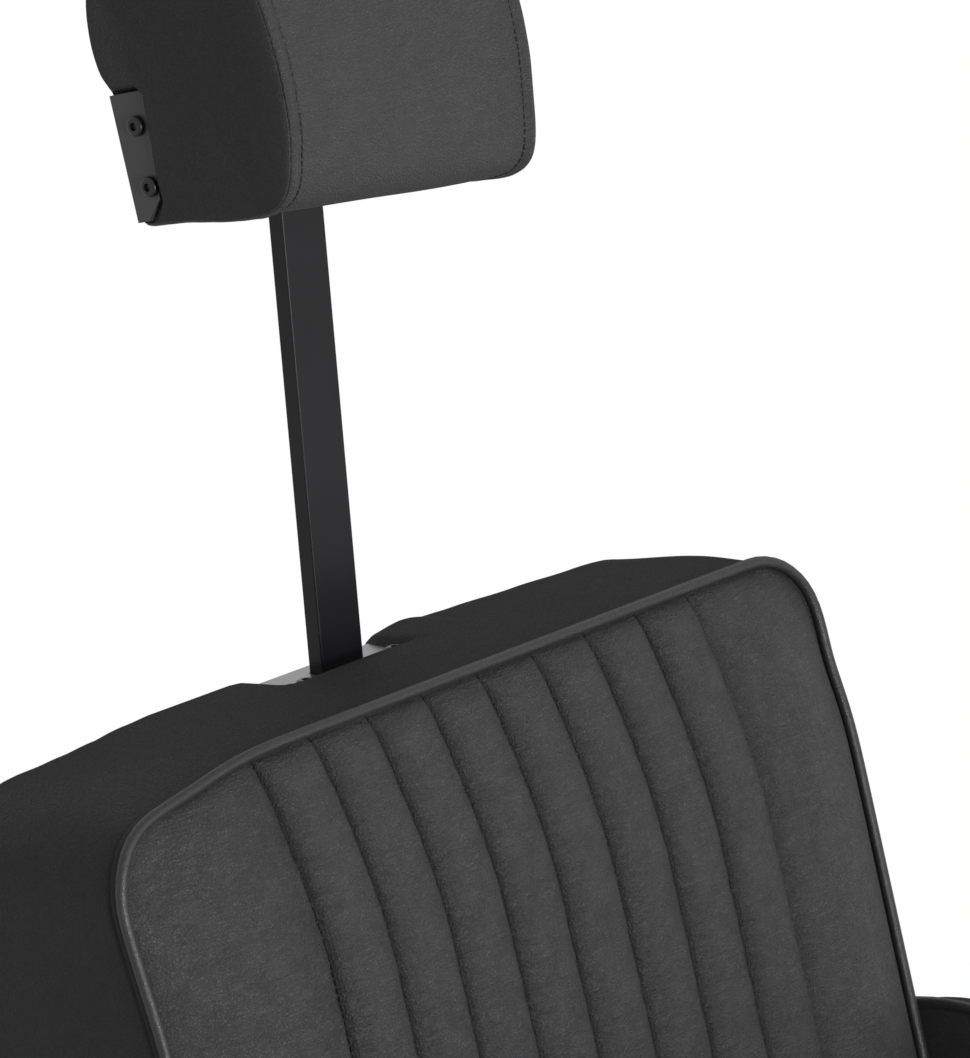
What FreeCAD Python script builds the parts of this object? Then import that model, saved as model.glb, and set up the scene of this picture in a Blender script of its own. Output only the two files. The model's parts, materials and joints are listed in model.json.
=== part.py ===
import FreeCAD, Part
import math
import os

# Threading chair: an all purpose salon chair with a reclining back and a headrest on a sliding bar.
# Millimetres. The origin is on the floor under the column, +Z is up and the sitter faces -Y.

V = FreeCAD.Vector
os.makedirs("parts", exist_ok=True)

# Clearances
cut_overrun = 3.0
chamber_overrun = 6.0
plate_gap = 0.5
pin_gap = 0.05
slide_gap = 0.2
soft_gap = 0.4
seat_to_back_gap = 5.0
arm_to_cushion_gap = 12.0

# Stance
seat_height = 505.0
back_edge_y = 300.0
back_rise = 445.0
bar_lean = 6.1
front_lean = 16.5

# Cushions
cushion_width = 560.0
seam_pitch = 42.8
channel_count = 8
channel_bulge = 5.0
side_bulge = 11.0
corner_radius = 55.0
rear_radius = 15.0
piping_radius = 3.0
piping_gap = 0.9
back_length = 470.0
back_crown = 23.0
back_crown_run = 115.0
back_top_slope = 8.0
back_cap_rise = 6.0
back_cap_inset = 16.0
seat_length = 470.0
seat_thickness = 95.0
seat_crown = 18.0
seat_crown_run = 90.0

# Back frame, measured from the bar's centre line at the top of the headrest plate
bar_offset_y = 93.9
plate_drop = 19.0
board_thickness = 15.0
board_width = 524.0
board_corner_radius = 28.0
chamber_rear = 14.0
rear_panel_thickness = 6.0
rear_panel_drop = 8.0
back_frame_length = 468.0
batten_width = 30.0
top_batten_height = 50.0
batten_bar_gap = 6.0

# Headrest plate, receiver and bar
bar_width = 32.0
bar_thickness = 10.0
bar_edge_radius = 1.2
bar_inserted = 150.0
plate_width = 104.0
plate_depth = 43.5
plate_thickness = 3.0
plate_corner_radius = 4.0
plate_screw_spacing = 70.0
plate_screw_offset = -10.0
receiver_wall = 3.0
receiver_length = 180.0
receiver_side_gap = 0.8
spring_room = 2.0
spring_thickness = 0.8
spring_bow = 0.9
spring_width = 20.0
spring_length = 110.0
spring_drop = 30.0
receiver_ear_width = 96.0
receiver_ear_height = 24.0
receiver_ear_spacing = 120.0
receiver_ear_drop = 40.0
receiver_screw_spacing = 76.0
button_head_radius = 5.25
button_head_height = 3.2
button_socket_radius = 2.2
button_socket_depth = 1.6
button_round_share = 0.55
screw_radius = 3.0
screw_length = 14.0

# Headrest, measured along its own lean from the lower rear edge of the bracket
headrest_lean = 16.5
headrest_width = 186.0
bracket_height = 65.0
bracket_ear_depth = 24.0
bracket_ear_waist_depth = 18.5
bracket_ear_waist_height = 10.0
bracket_ear_toe_depth = 7.5
bracket_ear_corner = 3.0
bracket_thickness = 3.0
bracket_screw_inset = 14.5
bracket_screw_low = 17.0
bracket_screw_high = 48.0
tilt_pin_height = 30.2
tilt_pin_forward = 24.5
tilt_pin_radius = 4.0
knuckle_radius = 8.0
bar_rise = 286.0
knuckle_seat_share = 0.5
lug_thickness = 4.0
lug_radius = 9.0
pin_head_radius = 7.0
pin_head_length = 4.0
headrest_board_thickness = 20.0
headrest_board_height = 122.0
headrest_board_inset = 4.0
headrest_bottom = -6.0
headrest_height = 138.0
headrest_depth = 100.0
headrest_front_bulge = 16.5
headrest_end_inset = 7.0
headrest_end_run = 9.0
headrest_side_crown = 4.0
headrest_corner_radius = 24.0
headrest_rear_radius = 9.0
headrest_end_bulge_share = 0.7
hinge_pocket_width = 56.0
hinge_pocket_depth = 46.0
hinge_pocket_height = 52.0

# Seat frame
seat_board_width = 536.0
seat_board_length = 452.0
seat_board_inset = 8.0
rail_spacing = 400.0
rail_width = 30.0
rail_height = 30.0
rail_front = -285.0
rail_rear = 266.0
crossbar_thickness = 8.0
crossbar_width = 60.0
crossbar_y_list = (-255.0, -80.0, 80.0)
swivel_plate_size = 220.0
swivel_plate_thickness = 6.0
swivel_bolt_spacing = 160.0
seat_bolt_x = 124.0
seat_bolt_bite = 12.0

# Recline hinge and gas strut
recline_y = 240.0
recline_drop = 65.0
recline_range = 30.0
recline_shaft_radius = 10.0
hinge_thickness = 6.0
ear_width = 44.0
shaft_nut_radius = 15.0
shaft_nut_length = 8.0
hinge_foot_height = 30.0
hinge_leg_width = 20.0
hinge_leg_height = 165.0
hinge_flange_width = 40.0
hinge_flange_height = 110.0
hinge_flange_thickness = 4.0
hinge_screw_shares = (0.2, 0.5, 0.8)
hinge_room_gap = 3.0
lever_x = 140.0
lever_radius = 72.0
lever_thickness = 8.0
lever_width = 26.0
lever_hub_radius = 17.0
strut_pin_radius = 4.0
strut_pin_head_radius = 8.0
strut_pin_head_length = 4.0
strut_open_gap = 2.6
strut_eye_wall = 5.0
strut_eye_width = 8.0
strut_cylinder_radius = 13.0
strut_cylinder_length = 190.0
strut_neck = 8.0
strut_rod_radius = 5.0
strut_front_y = -60.0
strut_head_size = 24.0
strut_head_length = 34.0
strut_bracket_thickness = 4.0
strut_cheek_setback = 8.5
valve_pin_radius = 2.5
valve_pin_length = 10.0
valve_pin_reach = 6.0
valve_bore_stop = 8.0
release_bar_width = 20.0
release_bar_thickness = 5.0
release_pivot_y = -100.0
grip_to_arm_gap = 4.0
grip_hold_share = 0.75
release_inner_x = 126.0
release_tab_height = 22.0
release_tab_gap = 1.2
release_tab_reach = 5.0
release_bolt_radius = 5.0
release_bolt_head_radius = 9.0
release_bolt_head_height = 6.0
grip_radius = 13.0
grip_length = 64.0
grip_round_share = 0.6

# Arms
arm_thickness = 60.0
arm_rise = 197.0
arm_front = -300.0
arm_rear = 330.0
arm_level_end = 190.0
arm_rear_radius = 155.0
arm_front_radius = 60.0
arm_foot_radius = 5.0
arm_shoulder_radius = 54.0
arm_shoulder_flat = 4.0
arm_core_thickness = 18.0
arm_core_setback = 12.0
arm_core_inset = 40.0
arm_bracket_width = 40.0
arm_bracket_thickness = 6.0
arm_bracket_y_list = (-200.0, 160.0)
arm_bracket_reach = 14.0
arm_bolt_radius = 4.0
arm_bolt_head_radius = 7.0
arm_bolt_head_height = 5.0
arm_bolt_length = 50.0
rail_bolt_length = 24.0

# Footrest
stem_width = 50.0
stem_thickness = 20.0
stem_rear = -205.0
stem_bend_y = -345.0
foot_bar_y = -500.0
foot_bar_z = 195.0
foot_bar_radius = 14.0
foot_bar_length = 400.0
sleeve_wall = 6.0
sleeve_length = 150.0
foot_cap_length = 8.0
foot_bolt_spacing = 25.0

# Column
ram_radius = 30.0
ram_rest_height = 104.8
seal_groove_radius = 27.0
hub_radius = 42.0
hub_height = 58.0
bearing_height = 6.0
hub_to_gland_gap = 8.0
gland_height = 25.0
gland_flange_height = 10.0
gland_radius = 54.0
housing_radius = 48.0
housing_bore_radius = 35.0
housing_floor = 14.0
piston_seal_height = 16.0
pump_flange_radius = 112.0
pump_flange_thickness = 12.0
base_bolt_circle = 88.0
base_bolt_count = 4
base_bolt_turn_share = 0.5
hex_head_radius = 9.0
hex_head_height = 6.4
hex_bolt_radius = 5.0

# Pump pedal
pedal_pivot_y = 72.0
pedal_pivot_z = 120.0
pedal_shaft_radius = 7.0
pedal_hub_radius = 14.0
pedal_hub_width = 26.0
lug_plate_width = 10.0
pedal_arm_width = 18.0
pedal_arm_height = 16.0
pedal_end_y = 345.0
pedal_pad_depth = 60.0
pedal_pad_width = 115.0
pedal_pad_thickness = 8.0
pedal_rubber_thickness = 5.0
plunger_offset = 28.0
plunger_radius = 6.0
plunger_length = 42.0
plunger_top_gap = 1.0
plunger_boss_radius = 14.0
plunger_boss_top = 95.0
plunger_bore_bottom = 56.0
plunger_rib_width = 16.0

# Base
base_radius = 300.0
base_plate_thickness = 8.0
cover_top_radius = 118.0
cover_rise = 30.0
cover_rim_height = 3.0
cover_rim_inset = 4.0
cover_thickness = 2.0
cover_arc_share = 0.62

# Places worked out from the sizes above
back_edge_z = seat_height + back_rise
recline_z = seat_height - recline_drop
arm_top = seat_height + arm_rise
cushion_bottom = seat_height - seat_thickness
frame_top = cushion_bottom - board_thickness
crossbar_bottom = frame_top - crossbar_thickness
rail_bottom = frame_top - rail_height
swivel_plate_bottom = crossbar_bottom - swivel_plate_thickness
hub_bottom = swivel_plate_bottom - hub_height
gland_top = hub_bottom - hub_to_gland_gap
housing_top = gland_top - gland_flange_height
half_width = cushion_width / 2
arm_inner = half_width + arm_to_cushion_gap
arm_outer = arm_inner + arm_thickness
seam_count = channel_count + 1
receiver_x = bar_width / 2 + receiver_side_gap + receiver_wall
receiver_front = -bar_thickness / 2 - spring_room - receiver_wall
receiver_rear = bar_thickness / 2 + slide_gap + receiver_wall
board_rear = receiver_front - receiver_wall
board_front = board_rear - board_thickness
bar_origin = V(0, back_edge_y + bar_offset_y, back_edge_z - plate_drop)
tan_front = math.tan(math.radians(front_lean))
rail_outer = (rail_spacing + rail_width) / 2
hinge_outer = rail_outer - plate_gap
hinge_inner = hinge_outer - hinge_thickness


def box(x0, x1, y0, y1, z0, z1):
    return Part.makeBox(x1 - x0, y1 - y0, z1 - z0, V(x0, y0, z0))


def rod(radius, start, end):
    axis = end.sub(start)
    return Part.makeCylinder(radius, axis.Length, start, axis)


def rod_x(radius, x0, x1, y, z):
    return rod(radius, V(x0, y, z), V(x1, y, z))


def rod_z(radius, x, y, z0, z1):
    return rod(radius, V(x, y, z0), V(x, y, z1))


def slab(points, x0, x1):
    """A plate whose outline is given as (y, z) points and whose thickness runs from x0 to x1."""
    corners = [V(x0, y, z) for y, z in points]
    face = Part.Face(Part.makePolygon(corners + corners[:1]))
    return face.extrude(V(x1 - x0, 0, 0))


def fuse(shapes):
    return shapes[0].fuse(shapes[1:]).removeSplitter()


def mirrored(shape):
    return shape.mirror(V(0, 0, 0), V(1, 0, 0))


def both_sides(shape):
    return Part.makeCompound([shape, mirrored(shape)])


def leaned(shape, angle, origin):
    """The shape leaned back about the X axis and moved to its origin."""
    result = shape.copy()
    result.rotate(V(0, 0, 0), V(1, 0, 0), -angle)
    result.translate(origin)
    return result


def leaned_point(angle, origin, y, z):
    a = math.radians(angle)
    return origin.add(V(0, y * math.cos(a) + z * math.sin(a), z * math.cos(a) - y * math.sin(a)))


def arc(a, middle, b):
    return Part.Arc(a, middle, b).toShape()


def line(a, b):
    return Part.LineSegment(a, b).toShape()


def upright_edges(shape):
    nearly_upright = 0.9
    return [e for e in shape.Edges if abs(e.tangentAt(0).z) > nearly_upright]


def rounded_path(corners, place, closed):
    """Lines joined by arcs. Each corner is (u, v, radius), and place turns u and v into a point."""
    count = len(corners)
    marks = []
    for i, (u, v, r) in enumerate(corners):
        here = V(u, v, 0)
        if not closed and i in (0, count - 1):
            marks.append((here, here, here))
            continue
        before = V(*corners[i - 1][:2], 0).sub(here).normalize()
        after = V(*corners[(i + 1) % count][:2], 0).sub(here).normalize()
        half = before.getAngle(after) / 2
        reach = r / math.tan(half)
        inward = before.add(after).normalize()
        deep = r / math.sin(half) - r
        marks.append((here.add(before * reach), here.add(inward * deep), here.add(after * reach)))
    edges = []
    for i, (start, middle, end) in enumerate(marks):
        if start != end:
            edges.append(arc(place(start.x, start.y), place(middle.x, middle.y), place(end.x, end.y)))
        if closed or i + 1 < count:
            following = marks[(i + 1) % count][0]
            edges.append(line(place(end.x, end.y), place(following.x, following.y)))
    return Part.Wire(edges)


def save(name, shape):
    shape.exportStep("parts/" + name + ".step")


def loft(sections):
    return Part.makeLoft(sections, True, True)


def ease(share):
    """Rises from nearly flat to full as the share goes from nothing to one."""
    flat_share = 0.04
    return flat_share + (1 - flat_share) * math.sin(math.radians(90) * min(1, max(0, share)))


# Channelled cushions

def stations(length, run):
    """Places along a cushion: close together round its corners, wide apart between them."""
    turn_shares = (0, 0.2, 0.4, 0.6, 0.8, 1)
    near = [corner_radius * (1 - math.cos(math.radians(90) * s)) for s in turn_shares]
    run_shares = (0.5, 1)
    near += [corner_radius + (run - corner_radius) * s for s in run_shares]
    middle_shares = (0.33, 0.67)
    middle = [run + (length - 2 * run) * s for s in middle_shares]
    return near + middle + [length - d for d in reversed(near)]


def half_width_at(depth, length):
    edge = min(depth, length - depth)
    if edge >= corner_radius:
        return half_width
    return half_width - corner_radius + math.sqrt(corner_radius**2 - (corner_radius - edge)**2)


def cushion_section(origin, rearward, thickness, reach, crown, rise_share, inset, rear_corner):
    """One closed outline: channels in front, sides and a rounded rear, in the plane of X and rearward."""
    def at(x, forward):
        return origin.sub(rearward * forward).add(V(x, 0, 0))
    seam_share = (reach - inset) / reach
    seams = [seam_pitch * (i - channel_count / 2) * seam_share for i in range(seam_count)]
    edge = reach - inset
    front = crown * rise_share - inset
    corner = -inset
    edges = []
    side_middle = (front + corner) / 2 + side_bulge * rise_share
    edges.append(arc(at(-edge, corner), at(-(edge + seams[-1]) / 2, side_middle), at(seams[0], front)))
    for left, right in zip(seams, seams[1:]):
        top = front + channel_bulge * rise_share
        edges.append(arc(at(left, front), at((left + right) / 2, top), at(right, front)))
    edges.append(arc(at(seams[-1], front), at((edge + seams[-1]) / 2, side_middle), at(edge, corner)))
    depth = inset - thickness
    round_share = 1 - math.sqrt(0.5)
    turn = rear_corner * round_share
    edges.append(line(at(edge, corner), at(edge, depth + rear_corner)))
    flat = edge - rear_corner
    bend = edge - turn
    edges.append(arc(at(edge, depth + rear_corner), at(bend, depth + turn), at(flat, depth)))
    edges.append(line(at(flat, depth), at(-flat, depth)))
    edges.append(arc(at(-flat, depth), at(-bend, depth + turn), at(-edge, depth + rear_corner)))
    edges.append(line(at(-edge, depth + rear_corner), at(-edge, corner)))
    return Part.Wire(edges)


def piping(length, corner_place, radius):
    """A welt round the front edge: corner_place gives the edge's point and outward direction at a depth."""
    offset = (radius + piping_gap) / math.sqrt(2)
    w = half_width + offset
    r = corner_radius + offset
    top = -offset
    bottom = length + offset
    turn = r * (1 - math.sqrt(0.5))

    def at(x, depth):
        return corner_place(x, depth, offset)
    path = [
        line(at(r - w, top), at(w - r, top)),
        arc(at(w - r, top), at(w - turn, top + turn), at(w, top + r)),
        line(at(w, top + r), at(w, bottom - r)),
        arc(at(w, bottom - r), at(w - turn, bottom - turn), at(w - r, bottom)),
        line(at(w - r, bottom), at(r - w, bottom)),
        arc(at(r - w, bottom), at(turn - w, bottom - turn), at(-w, bottom - r)),
        line(at(-w, bottom - r), at(-w, top + r)),
        arc(at(-w, top + r), at(turn - w, top + turn), at(r - w, top)),
    ]
    start = at(r - w, top)
    ring = Part.Wire(Part.makeCircle(radius, start, V(1, 0, 0)))
    return Part.Wire(path).makePipeShell([ring], True, False)


# Back cushion: a wedge, thick at the bottom, whose front leans more than its rear

back_slope = math.radians(back_top_slope)
back_rearward = V(0, math.cos(back_slope), -math.sin(back_slope))
rear_lean = math.tan(math.radians(bar_lean))
rear_plane = chamber_rear + rear_panel_thickness
rear_point = leaned_point(bar_lean, bar_origin, rear_plane, 0)


def back_edge(depth):
    return V(0, back_edge_y - depth * tan_front, back_edge_z - depth)


def back_thickness(origin):
    """Distance from the front edge to the rear plane, down the slope of the top."""
    gap = rear_point.y + (origin.z - rear_point.z) * rear_lean - origin.y
    return gap / (math.cos(back_slope) + math.sin(back_slope) * rear_lean)


def back_section(depth, rise, inset, lift):
    origin = back_edge(depth).add(V(0, 0, lift))
    share = ease(min(depth, back_length - depth) / back_crown_run) * rise
    reach = half_width_at(depth, back_length)
    return cushion_section(origin, back_rearward, back_thickness(origin), reach, back_crown, share,
                           inset, rear_radius)


def in_bar_frame(shape):
    return leaned(shape, bar_lean, bar_origin)


def frame_blank(front, back, low, high, width):
    """A flat block across the back whose two upper corners are rounded."""
    corners = [(-width / 2, low, 0), (-width / 2, high, board_corner_radius),
               (width / 2, high, board_corner_radius), (width / 2, low, 0)]
    wire = rounded_path(corners, lambda x, z: V(x, front, z), True)
    return Part.Face(wire).extrude(V(0, back - front, 0))


def make_back_cushion():
    flat = ease(0)
    sections = [back_section(0, flat, back_cap_inset, back_cap_rise)]
    sections += [back_section(d, 1, 0, 0) for d in stations(back_length, back_crown_run)]
    body = loft(sections)
    pocket = frame_blank(board_front, rear_plane + chamber_overrun, -back_length - back_length,
                         -plate_thickness, board_width)
    recess_half = plate_width / 2 + soft_gap
    recess = box(-recess_half, recess_half, board_front - soft_gap, rear_plane + chamber_overrun,
                 -plate_thickness - cut_overrun, plate_drop + back_cap_rise)
    return body.cut([in_bar_frame(pocket), in_bar_frame(recess)])


def make_back_piping():
    lean = math.radians(front_lean)
    outward = V(0, -math.cos(lean), math.sin(lean))

    def place(x, depth, offset):
        return back_edge(depth * math.cos(lean)).add(V(x, 0, 0)).add(outward * offset)
    return piping(back_length / math.cos(lean), place, piping_radius)


save("back_cushion", make_back_cushion())
save("back_piping", make_back_piping())


# Back frame: a plywood board, battens behind it and a rear panel

def button_screw(point, direction, length):
    """A button head screw whose head sits on the point; direction goes out of the work."""
    head = rod(button_head_radius, point, point.add(direction * button_head_height))
    rim = [e for e in head.Edges if e.CenterOfMass.sub(point).dot(direction) > button_head_height / 2
           and e.Closed]
    head = head.makeFillet(button_head_height * button_round_share, rim)
    socket = rod(button_socket_radius, point.add(direction * (button_head_height - button_socket_depth)),
                 point.add(direction * (button_head_height + cut_overrun)))
    shank = rod(screw_radius, point.sub(direction * length), point)
    return head.fuse(shank).cut(socket).removeSplitter()


half_board = board_width / 2
plate_screw_x = plate_screw_spacing / 2
receiver_screw_x = receiver_screw_spacing / 2
ear_tops = [-receiver_ear_drop, -receiver_ear_drop - receiver_ear_spacing]


def screw_holes(points, direction, length):
    return [rod(screw_radius, p.sub(direction * length), p.add(direction * cut_overrun)) for p in points]


up = V(0, 0, 1)
rear = V(0, 1, 0)
plate_screw_points = [V(s * plate_screw_x, plate_screw_offset, 0) for s in (-1, 1)]
receiver_screw_points = [V(s * receiver_screw_x, receiver_front, top - receiver_ear_height / 2)
                         for s in (-1, 1) for top in ear_tops]
hinge_flange_x = hinge_inner - hinge_flange_width / 2
hinge_screw_points = [
    V(s * hinge_flange_x, board_rear + hinge_flange_thickness,
      hinge_flange_height * share - back_frame_length)
    for s in (-1, 1) for share in hinge_screw_shares
]

# The recline shaft as seen from the bar, and the room for the hinge arms, slotted into a longer board
bar_angle = math.radians(bar_lean)
pivot_y = (recline_y - bar_origin.y) * math.cos(bar_angle) - (recline_z - bar_origin.z) * math.sin(bar_angle)
pivot_z = (recline_y - bar_origin.y) * math.sin(bar_angle) + (recline_z - bar_origin.z) * math.cos(bar_angle)
hinge_room_half = hinge_foot_height / 2 + hinge_room_gap
hinge_room = box(hinge_inner - hinge_room_gap, hinge_outer + hinge_room_gap, board_front, board_rear,
                 pivot_z - hinge_room_half, pivot_z + hinge_room_half)

back_board = frame_blank(board_front, board_rear, -back_frame_length, -plate_thickness, board_width)
back_board = back_board.cut(screw_holes(receiver_screw_points + hinge_screw_points, rear, screw_length))
back_board = back_board.cut([hinge_room, mirrored(hinge_room)])

chamber = frame_blank(board_rear, chamber_rear, -back_frame_length, -plate_thickness, board_width)
side_batten = chamber.common(box(half_board - batten_width, half_board, board_rear, chamber_rear,
                                 -back_frame_length, -plate_thickness))
top_batten = box(receiver_x + batten_bar_gap, half_board - batten_width, board_rear, chamber_rear,
                 -plate_thickness - top_batten_height, -plate_thickness)
ear_room = box(0, receiver_ear_width / 2 + soft_gap, board_rear, chamber_rear,
               -back_frame_length, -receiver_ear_drop + soft_gap)
top_batten = top_batten.cut(ear_room)
top_batten = top_batten.cut(screw_holes(plate_screw_points, up, screw_length + plate_thickness))
back_battens = Part.makeCompound([side_batten, mirrored(side_batten), top_batten, mirrored(top_batten)])
rear_panel = frame_blank(chamber_rear, rear_plane, -back_frame_length, -rear_panel_drop, board_width)

save("back_board", in_bar_frame(back_board))
save("back_battens", in_bar_frame(back_battens))
save("rear_panel", in_bar_frame(rear_panel))


# Headrest plate, receiver tube, leaf spring and their screws

def make_plate():
    half = plate_width / 2
    plate = box(-half, half, board_front, board_front + plate_depth, -plate_thickness, 0)
    plate = plate.makeFillet(plate_corner_radius, upright_edges(plate))
    slot_half = bar_width / 2 + receiver_side_gap
    slot = box(-slot_half, slot_half, -bar_thickness / 2 - spring_room, bar_thickness / 2 + slide_gap,
               -plate_thickness - cut_overrun, cut_overrun)
    return plate.cut([slot] + screw_holes(plate_screw_points, up, screw_length))


def make_receiver():
    top = -plate_thickness
    outer = box(-receiver_x, receiver_x, receiver_front, receiver_rear, top - receiver_length, top)
    bore = box(receiver_wall - receiver_x, receiver_x - receiver_wall, receiver_front + receiver_wall,
               receiver_rear - receiver_wall, top - receiver_length - cut_overrun, top + cut_overrun)
    ears = [box(-receiver_ear_width / 2, receiver_ear_width / 2, board_rear, receiver_front,
                t - receiver_ear_height, t) for t in ear_tops]
    outer = fuse([outer] + ears).cut(bore)
    return outer.cut(screw_holes(receiver_screw_points, rear, screw_length))


def make_spring():
    front = receiver_front + receiver_wall + slide_gap / 2
    low = -spring_drop - spring_length
    high = -spring_drop
    middle = (low + high) / 2
    x0 = -spring_width / 2
    t = spring_thickness
    outline = [
        arc(V(x0, front, low), V(x0, front + spring_bow, middle), V(x0, front, high)),
        line(V(x0, front, high), V(x0, front + t, high)),
        arc(V(x0, front + t, high), V(x0, front + t + spring_bow, middle), V(x0, front + t, low)),
        line(V(x0, front + t, low), V(x0, front, low)),
    ]
    return Part.Face(Part.Wire(outline)).extrude(V(spring_width, 0, 0))


save("headrest_plate", in_bar_frame(make_plate()))
save("receiver_tube", in_bar_frame(make_receiver()))
save("receiver_spring", in_bar_frame(make_spring()))
plate_screws = [button_screw(p, up, screw_length + plate_thickness) for p in plate_screw_points]
save("plate_screws", in_bar_frame(Part.makeCompound(plate_screws)))
inner_screws = [button_screw(p, rear, screw_length) for p in receiver_screw_points + hinge_screw_points]
save("board_screws", in_bar_frame(Part.makeCompound(inner_screws)))

# Headrest places: the tilt pin is on the bar's centre line
pin_point = leaned_point(bar_lean, bar_origin, 0, bar_rise)
pin_in_headrest = V(0, -tilt_pin_forward, tilt_pin_height)


def in_headrest_frame(shape):
    """Headrest pieces are drawn upright with their rear at y = 0, front towards -y, and leaned at the pin."""
    moved = shape.copy()
    moved.translate(pin_in_headrest * -1)
    return leaned(moved, headrest_lean, pin_point)


# Headrest bar with the knuckle at its top

def make_bar():
    top = bar_rise
    bar = box(-bar_width / 2, bar_width / 2, -bar_thickness / 2, bar_thickness / 2, -bar_inserted,
              top - knuckle_radius * knuckle_seat_share)
    bar = bar.makeFillet(bar_edge_radius, upright_edges(bar))
    knuckle = rod_x(knuckle_radius, -bar_width / 2, bar_width / 2, 0, top)
    bore = rod_x(tilt_pin_radius + pin_gap, -bar_width, bar_width, 0, top)
    return bar.fuse(knuckle).cut(bore)


save("headrest_bar", in_bar_frame(make_bar()))


# Headrest: bent bracket with ears, plywood board, cushion, tilt pin and screws

half_head = headrest_width / 2
bracket_x = half_head + bracket_thickness
ear_screw_heights = (bracket_screw_low, bracket_screw_high)
ear_screw_points = [V(bracket_x, -bracket_screw_inset, h) for h in ear_screw_heights]


def make_bracket():
    """A bent plate whose ears narrow downwards and end in a cut toe."""
    back_plate = box(-bracket_x, bracket_x, -bracket_thickness, 0, 0, bracket_height)
    ear = slab([
        (0, 0), (-bracket_ear_toe_depth, 0), (-bracket_ear_waist_depth, bracket_ear_waist_height),
        (-bracket_ear_depth, bracket_height - bracket_ear_corner),
        (-bracket_ear_depth + bracket_ear_corner, bracket_height), (0, bracket_height),
    ], half_head, bracket_x)
    ear = ear.cut(screw_holes(ear_screw_points, V(1, 0, 0), screw_length))
    lug_x = bar_width / 2 + plate_gap
    lug = fuse([
        rod_x(lug_radius, lug_x, lug_x + lug_thickness, -tilt_pin_forward, tilt_pin_height),
        box(lug_x, lug_x + lug_thickness, -tilt_pin_forward, -bracket_thickness / 2,
            tilt_pin_height - lug_radius, tilt_pin_height + lug_radius),
    ])
    lug = lug.cut(rod_x(tilt_pin_radius, 0, bracket_x, -tilt_pin_forward, tilt_pin_height))
    return fuse([back_plate, ear, mirrored(ear), lug, mirrored(lug)])


def make_tilt_pin():
    reach = bar_width / 2 + plate_gap + lug_thickness
    y, z = -tilt_pin_forward, tilt_pin_height
    pin = rod_x(tilt_pin_radius, -reach - pin_head_length, reach + pin_head_length, y, z)
    head = rod_x(pin_head_radius, reach, reach + pin_head_length, y, z)
    return fuse([pin, head, mirrored(head)])


def headrest_outline(x, inset, front_share):
    """Side outline of the cushion: flat rear, rounded corners, bulging front."""
    low = headrest_bottom + inset
    high = headrest_bottom + headrest_height - inset
    r = headrest_corner_radius
    rr = headrest_rear_radius
    turn_share = 1 - math.sqrt(0.5)
    front = -headrest_depth + inset
    bulge = headrest_front_bulge * front_share
    t, tr = r * turn_share, rr * turn_share
    middle = (low + high) / 2

    def at(y, z):
        return V(x, y, z)
    return Part.Wire([
        line(at(-rr, low), at(front + r, low)),
        arc(at(front + r, low), at(front + t, low + t), at(front, low + r)),
        arc(at(front, low + r), at(front - bulge, middle), at(front, high - r)),
        arc(at(front, high - r), at(front + t, high - t), at(front + r, high)),
        line(at(front + r, high), at(-rr, high)),
        arc(at(-rr, high), at(-tr, high - tr), at(0, high - rr)),
        line(at(0, high - rr), at(0, low + rr)),
        arc(at(0, low + rr), at(-tr, low + tr), at(-rr, low)),
    ])


def make_headrest_cushion():
    ends = headrest_end_run
    places = [
        (-half_head + soft_gap, headrest_end_inset, headrest_end_bulge_share),
        (-half_head + ends, 0, 1),
        (0, -headrest_side_crown, 1),
    ]
    places += [(-x, inset, share) for x, inset, share in reversed(places[:2])]
    body = loft([headrest_outline(*place) for place in places])
    x = half_head - headrest_board_inset
    below = headrest_bottom - headrest_side_crown - cut_overrun
    board_room = box(-x, x, -bracket_thickness - headrest_board_thickness, -bracket_thickness,
                     0, headrest_board_height)
    bracket_room = box(-half_head, half_head, -bracket_thickness, cut_overrun + headrest_side_crown,
                       below, bracket_height + soft_gap)
    pocket_x = hinge_pocket_width / 2
    hinge_room = box(-pocket_x, pocket_x, -hinge_pocket_depth, 0, below, hinge_pocket_height)
    return body.cut([board_room, bracket_room, hinge_room])


def make_headrest_board():
    x = half_head - headrest_board_inset
    board = box(-x, x, -bracket_thickness - headrest_board_thickness, -bracket_thickness,
                0, headrest_board_height)
    pocket_x = hinge_pocket_width / 2
    hinge_room = box(-pocket_x, pocket_x, -hinge_pocket_depth, 0, headrest_bottom, hinge_pocket_height)
    holes = screw_holes(ear_screw_points, V(1, 0, 0), screw_length)
    return board.cut([hinge_room] + holes + [mirrored(h) for h in holes])


save("headrest_bracket", in_headrest_frame(make_bracket()))
save("tilt_pin", in_headrest_frame(make_tilt_pin()))
cushion = make_headrest_cushion()
bracket_holes = screw_holes(ear_screw_points, V(1, 0, 0), screw_length + soft_gap)
save("headrest_cushion", in_headrest_frame(cushion.cut(bracket_holes + [mirrored(h) for h in bracket_holes])))
save("headrest_board", in_headrest_frame(make_headrest_board()))
ear_screws = [button_screw(p, V(1, 0, 0), screw_length) for p in ear_screw_points]
save("bracket_screws", in_headrest_frame(Part.makeCompound(ear_screws + [mirrored(s) for s in ear_screws])))


# Recline hinge: shaft, two hinge arms, strut lever

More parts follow.
